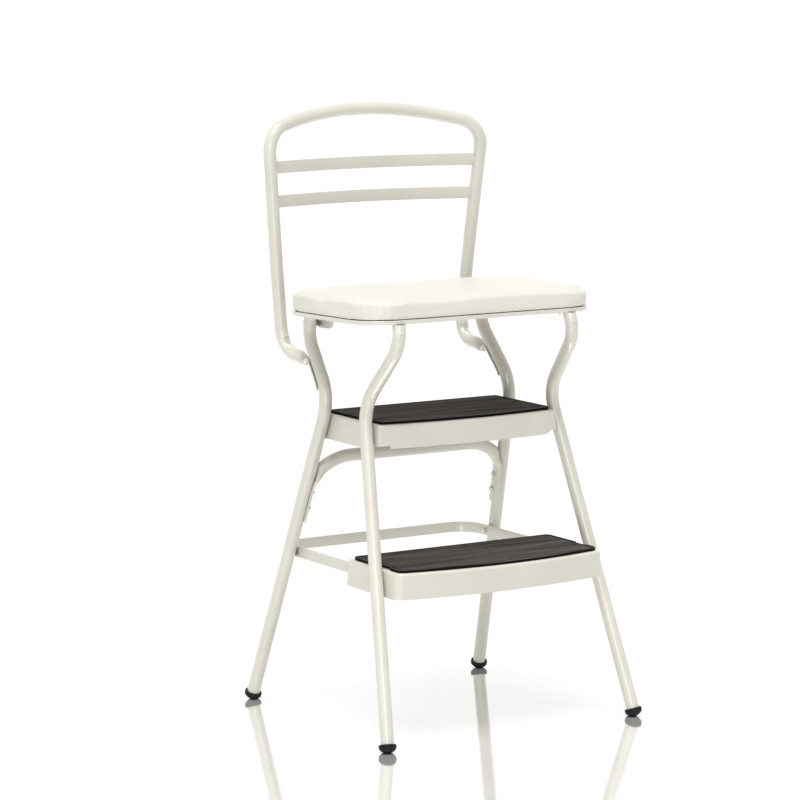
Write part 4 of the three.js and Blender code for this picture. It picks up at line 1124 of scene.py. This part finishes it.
def softened(node, body="frame"):
    # the CAD piece itself, merged, with rounded edges
    source = bpy.data.objects[node]
    bm = bmesh.new()
    bm.from_mesh(source.data)
    bmesh.ops.transform(bm, matrix=source.matrix_world, verts=bm.verts)
    bmesh.ops.remove_doubles(bm, verts=bm.verts, dist=10 * same * mm)
    bmesh.ops.dissolve_limit(bm, angle_limit=barEdge["flat"], verts=bm.verts, edges=bm.edges)
    rims = [e for e in bm.edges if len(e.link_faces) == 2 and e.calc_face_angle(0) > barEdge["from"]]
    bevelled(bm, rims, barEdge["radius"] * mm, 2, clamp_overlap=True)
    finishPiece(bm, node, body=body, inMetres=True)


def addPin(node, at, along, length, dome, nut=False, collar=None):
    # profile heights run from the head's seat, head side negative
    along = Vector(along).normalized()
    head, shank, tall = small["head"], small["shank"], small["nutTall"]
    profile = [(0, length), (shank, length), (shank, 0), (head, 0)]
    bm = bmesh.new()
    if nut:
        profile += [(head, small["nutEdge"] - tall), (head * small["nutTop"], -tall), (0, -tall)]
        spun(bm, profile, at, along, small["hexSides"])
        wide, sunk = head * small["capWide"], small["capSunk"] - tall
        cap = [(0, sunk), (wide, sunk), (wide, -tall)]
        cap += [(wide * math.cos(t), -tall - (dome - tall) * math.sin(t)) for t in quarterTurns()]
        spun(bm, cap, at, along, small["sides"])
    else:
        brow = small["brow"] * dome
        profile.append((head, -brow))
        profile += [(head * math.cos(t), -brow - (dome - brow) * math.sin(t)) for t in quarterTurns()]
        spun(bm, profile, at, along, small["sides"])
    if collar:
        near, far = collar
        ring = [(shank, near), (small["collar"], near), (small["collar"], far), (shank, far), (shank, near)]
        spun(bm, ring, at, along, small["sides"])
    finishPiece(bm, node, finish=("brightSteel",), sharp=40)


def addRing(node, at, along, radius, bore, thick):
    soft = small["ringEdge"]
    profile = [(bore, 0), (radius - soft, 0), (radius, soft), (radius, thick - soft), (radius - soft, thick),
               (bore, thick), (bore, 0)]
    bm = bmesh.new()
    spun(bm, profile, at, along)
    finishPiece(bm, node, finish=("greyNylon",), sharp=40)


def trayFixing(name, end, side):
    drop = rivetDrops[name]
    height = treads[name]["level"] - drop
    outer = trayWall(name, drop)
    wall = outer - tray["sheet"] - tube["gap"]
    reach = clearHalfWidth(end, height) - wall
    at = Vector((sides[side] * wall, legAt(end, side, height)[0].y, height))
    collar = (outer - wall + small["collarGap"], reach + small["collarPress"]) if name == "lower" else None
    addPin(f"{name}_tread_rivet_{end}_{side}", at, (sides[side], 0, legLean("rear")),
           reach + tube["wall"] + small["grip"], small["rivetDome"], collar=collar)


def braceFixing(side, place, drop):
    at, heading = legAt("rear", side, brace["top"] - drop)
    along = Vector((sides[side], 0, 0))
    along = (along - heading * along.dot(heading)).normalized()
    thick = 2 * brace["tabHalfThick"]
    head = at - along * (tube["radius"] + thick + 2 * tube["gap"])
    addPin(f"brace_screw_{place}_{side}", head, along, thick + tube["wall"] + small["grip"], small["screwDome"])


def tabFixing(side, place, rise):
    at, heading = legAt("rear", side, leg["waistHeight"] + rise)
    behind = heading.cross(Vector((1, 0, 0))).normalized()
    thick = 2 * back["tabHalfThick"]
    head = at + behind * (tube["radius"] + thick + 2 * tube["gap"])
    addPin(f"back_screw_{place}_{side}", head, -behind, thick + tube["wall"] + small["grip"], small["rivetDome"])


def strapFixings(side):
    sign, height = sides[side], strapMiddle()
    inner = strapHalfWidth() - strap["thick"] - tube["gap"]
    legY = legAt("rear", side, height)[0].y
    trayFace = trayWall("lower", treads["lower"]["level"] - height)
    clear = clearHalfWidth("rear", height)
    addPin(f"strap_screw_{side}", (sign * inner, legY, height), (sign, 0, 0),
           clear - inner + tube["wall"] + small["grip"], small["nutDome"], nut=True)
    addPin(f"strap_rivet_{side}", (sign * inner, strap["rivetAt"], height), (sign, 0, 0),
           trayFace - tray["sheet"] / 2 - inner, small["rivetDome"])
    for kind, y, face in (("leg", legY, clear), ("tray", strap["rivetAt"], trayFace - tray["sheet"])):
        outer = face - small["strapSpacer"] * legLean("rear") - tube["gap"]
        addRing(f"strap_{kind}_spacer_{side}", (sign * outer, y, height), (-sign, 0, 0), small["strapSpacer"],
                small["shank"] + tube["gap"], outer - strapHalfWidth() - tube["gap"])


def hingeParts(side):
    sign = sides[side]
    spread, height = hinge["spread"], hinge["height"]
    clear = clearHalfWidth("rear", height)
    earFace = clear - hinge["earGap"]
    head = earFace - hinge["earSheet"] / 2 - tube["gap"]
    length = legHalfWidth("rear", height) - head
    tall, wide, shank = hinge["headTall"], hinge["head"], hinge["shank"]
    profile = [(0, length), (shank, length), (shank, 0), (wide, 0), (wide, hinge["headEdge"] - tall),
               (wide * hinge["headTop"], -tall), (0, -tall)]
    bm = bmesh.new()
    spun(bm, profile, Vector((sign * head, spread, height)), (sign, 0, 0), small["hexSides"])
    finishPiece(bm, f"hinge_bolt_{side}", finish=("brightSteel",), sharp=30)
    outer = clear - hinge["spacer"] * legLean("rear") - tube["gap"]
    addRing(f"hinge_spacer_{side}", (sign * outer, spread, height), (-sign, 0, 0), hinge["spacer"],
            shank + tube["gap"], outer - earFace - hinge["earSheet"] / 2 - tube["gap"])


def addBumper(side):
    radius, tall, base, edge = bumper["radius"], bumper["tall"], bumper["base"], bumper["edge"]
    profile = [(0, 0), (radius - edge, 0), (radius, edge), (radius, base)]
    for t in quarterTurns():
        narrowed = radius * (1 - bumper["waist"] * math.sin(t) ** 2)
        profile.append((narrowed * math.cos(t * bumper["roundTo"]), base + (tall - base) * math.sin(t)))
    profile.append((0, tall))
    bm = bmesh.new()
    spun(bm, profile, (sides[side] * bumper["offset"], -bumper["spread"], bumper["foot"]), (0, 0, 1))
    finishPiece(bm, f"seat_bumper_{side}", finish=("blackRubber",), sharp=50)


def addRailWelds(side):
    sign = sides[side]
    x = sign * railWelds["offset"]
    bm = bmesh.new()
    for y, low, high in railWelds["runs"]:
        weldBead(bm, (x, y, low), (x, y, high), railWelds["radius"], sign + y)
    finishPiece(bm, None, cornered(f"rail_welds_{side}"))


def addTrayWelds(side):
    # the folded corners of the upper tray are welded, and ground only roughly
    sign, tread = sides[side], treads["upper"]
    y = trayWelds["behind"] - tread["front"]
    bottom = [tread["aprons"]["corner"] - rise for rise in trayWelds["bottom"]]
    bm = bmesh.new()
    for drop, end in (trayWelds["top"], bottom):
        x = sign * (trayWall("upper", (drop + end) / 2) - trayWelds["inside"])
        weldBead(bm, (x, y, tread["level"] - end), (x, y, tread["level"] - drop), trayWelds["radius"], drop * sign)
    finishPiece(bm, None, cornered(f"tray_welds_{side}"))


for node in ("front_cross_bar", "rear_cross_bar", "top_rail_left", "top_rail_right"):
    softened(node)
for side in sides:
    softened(f"hinge_ear_{side}", "seat")
    for end in ends:
        trayFixing("upper", end, side)
    trayFixing("lower", "front", side)
    for place, drop in brace["screwDrops"].items():
        braceFixing(side, place, drop)
    for place, rise in tabScrewRises.items():
        tabFixing(side, place, rise)
    strapFixings(side)
    hingeParts(side)
    addBumper(side)
    addRailWelds(side)
    addTrayWelds(side)
print("small parts made")
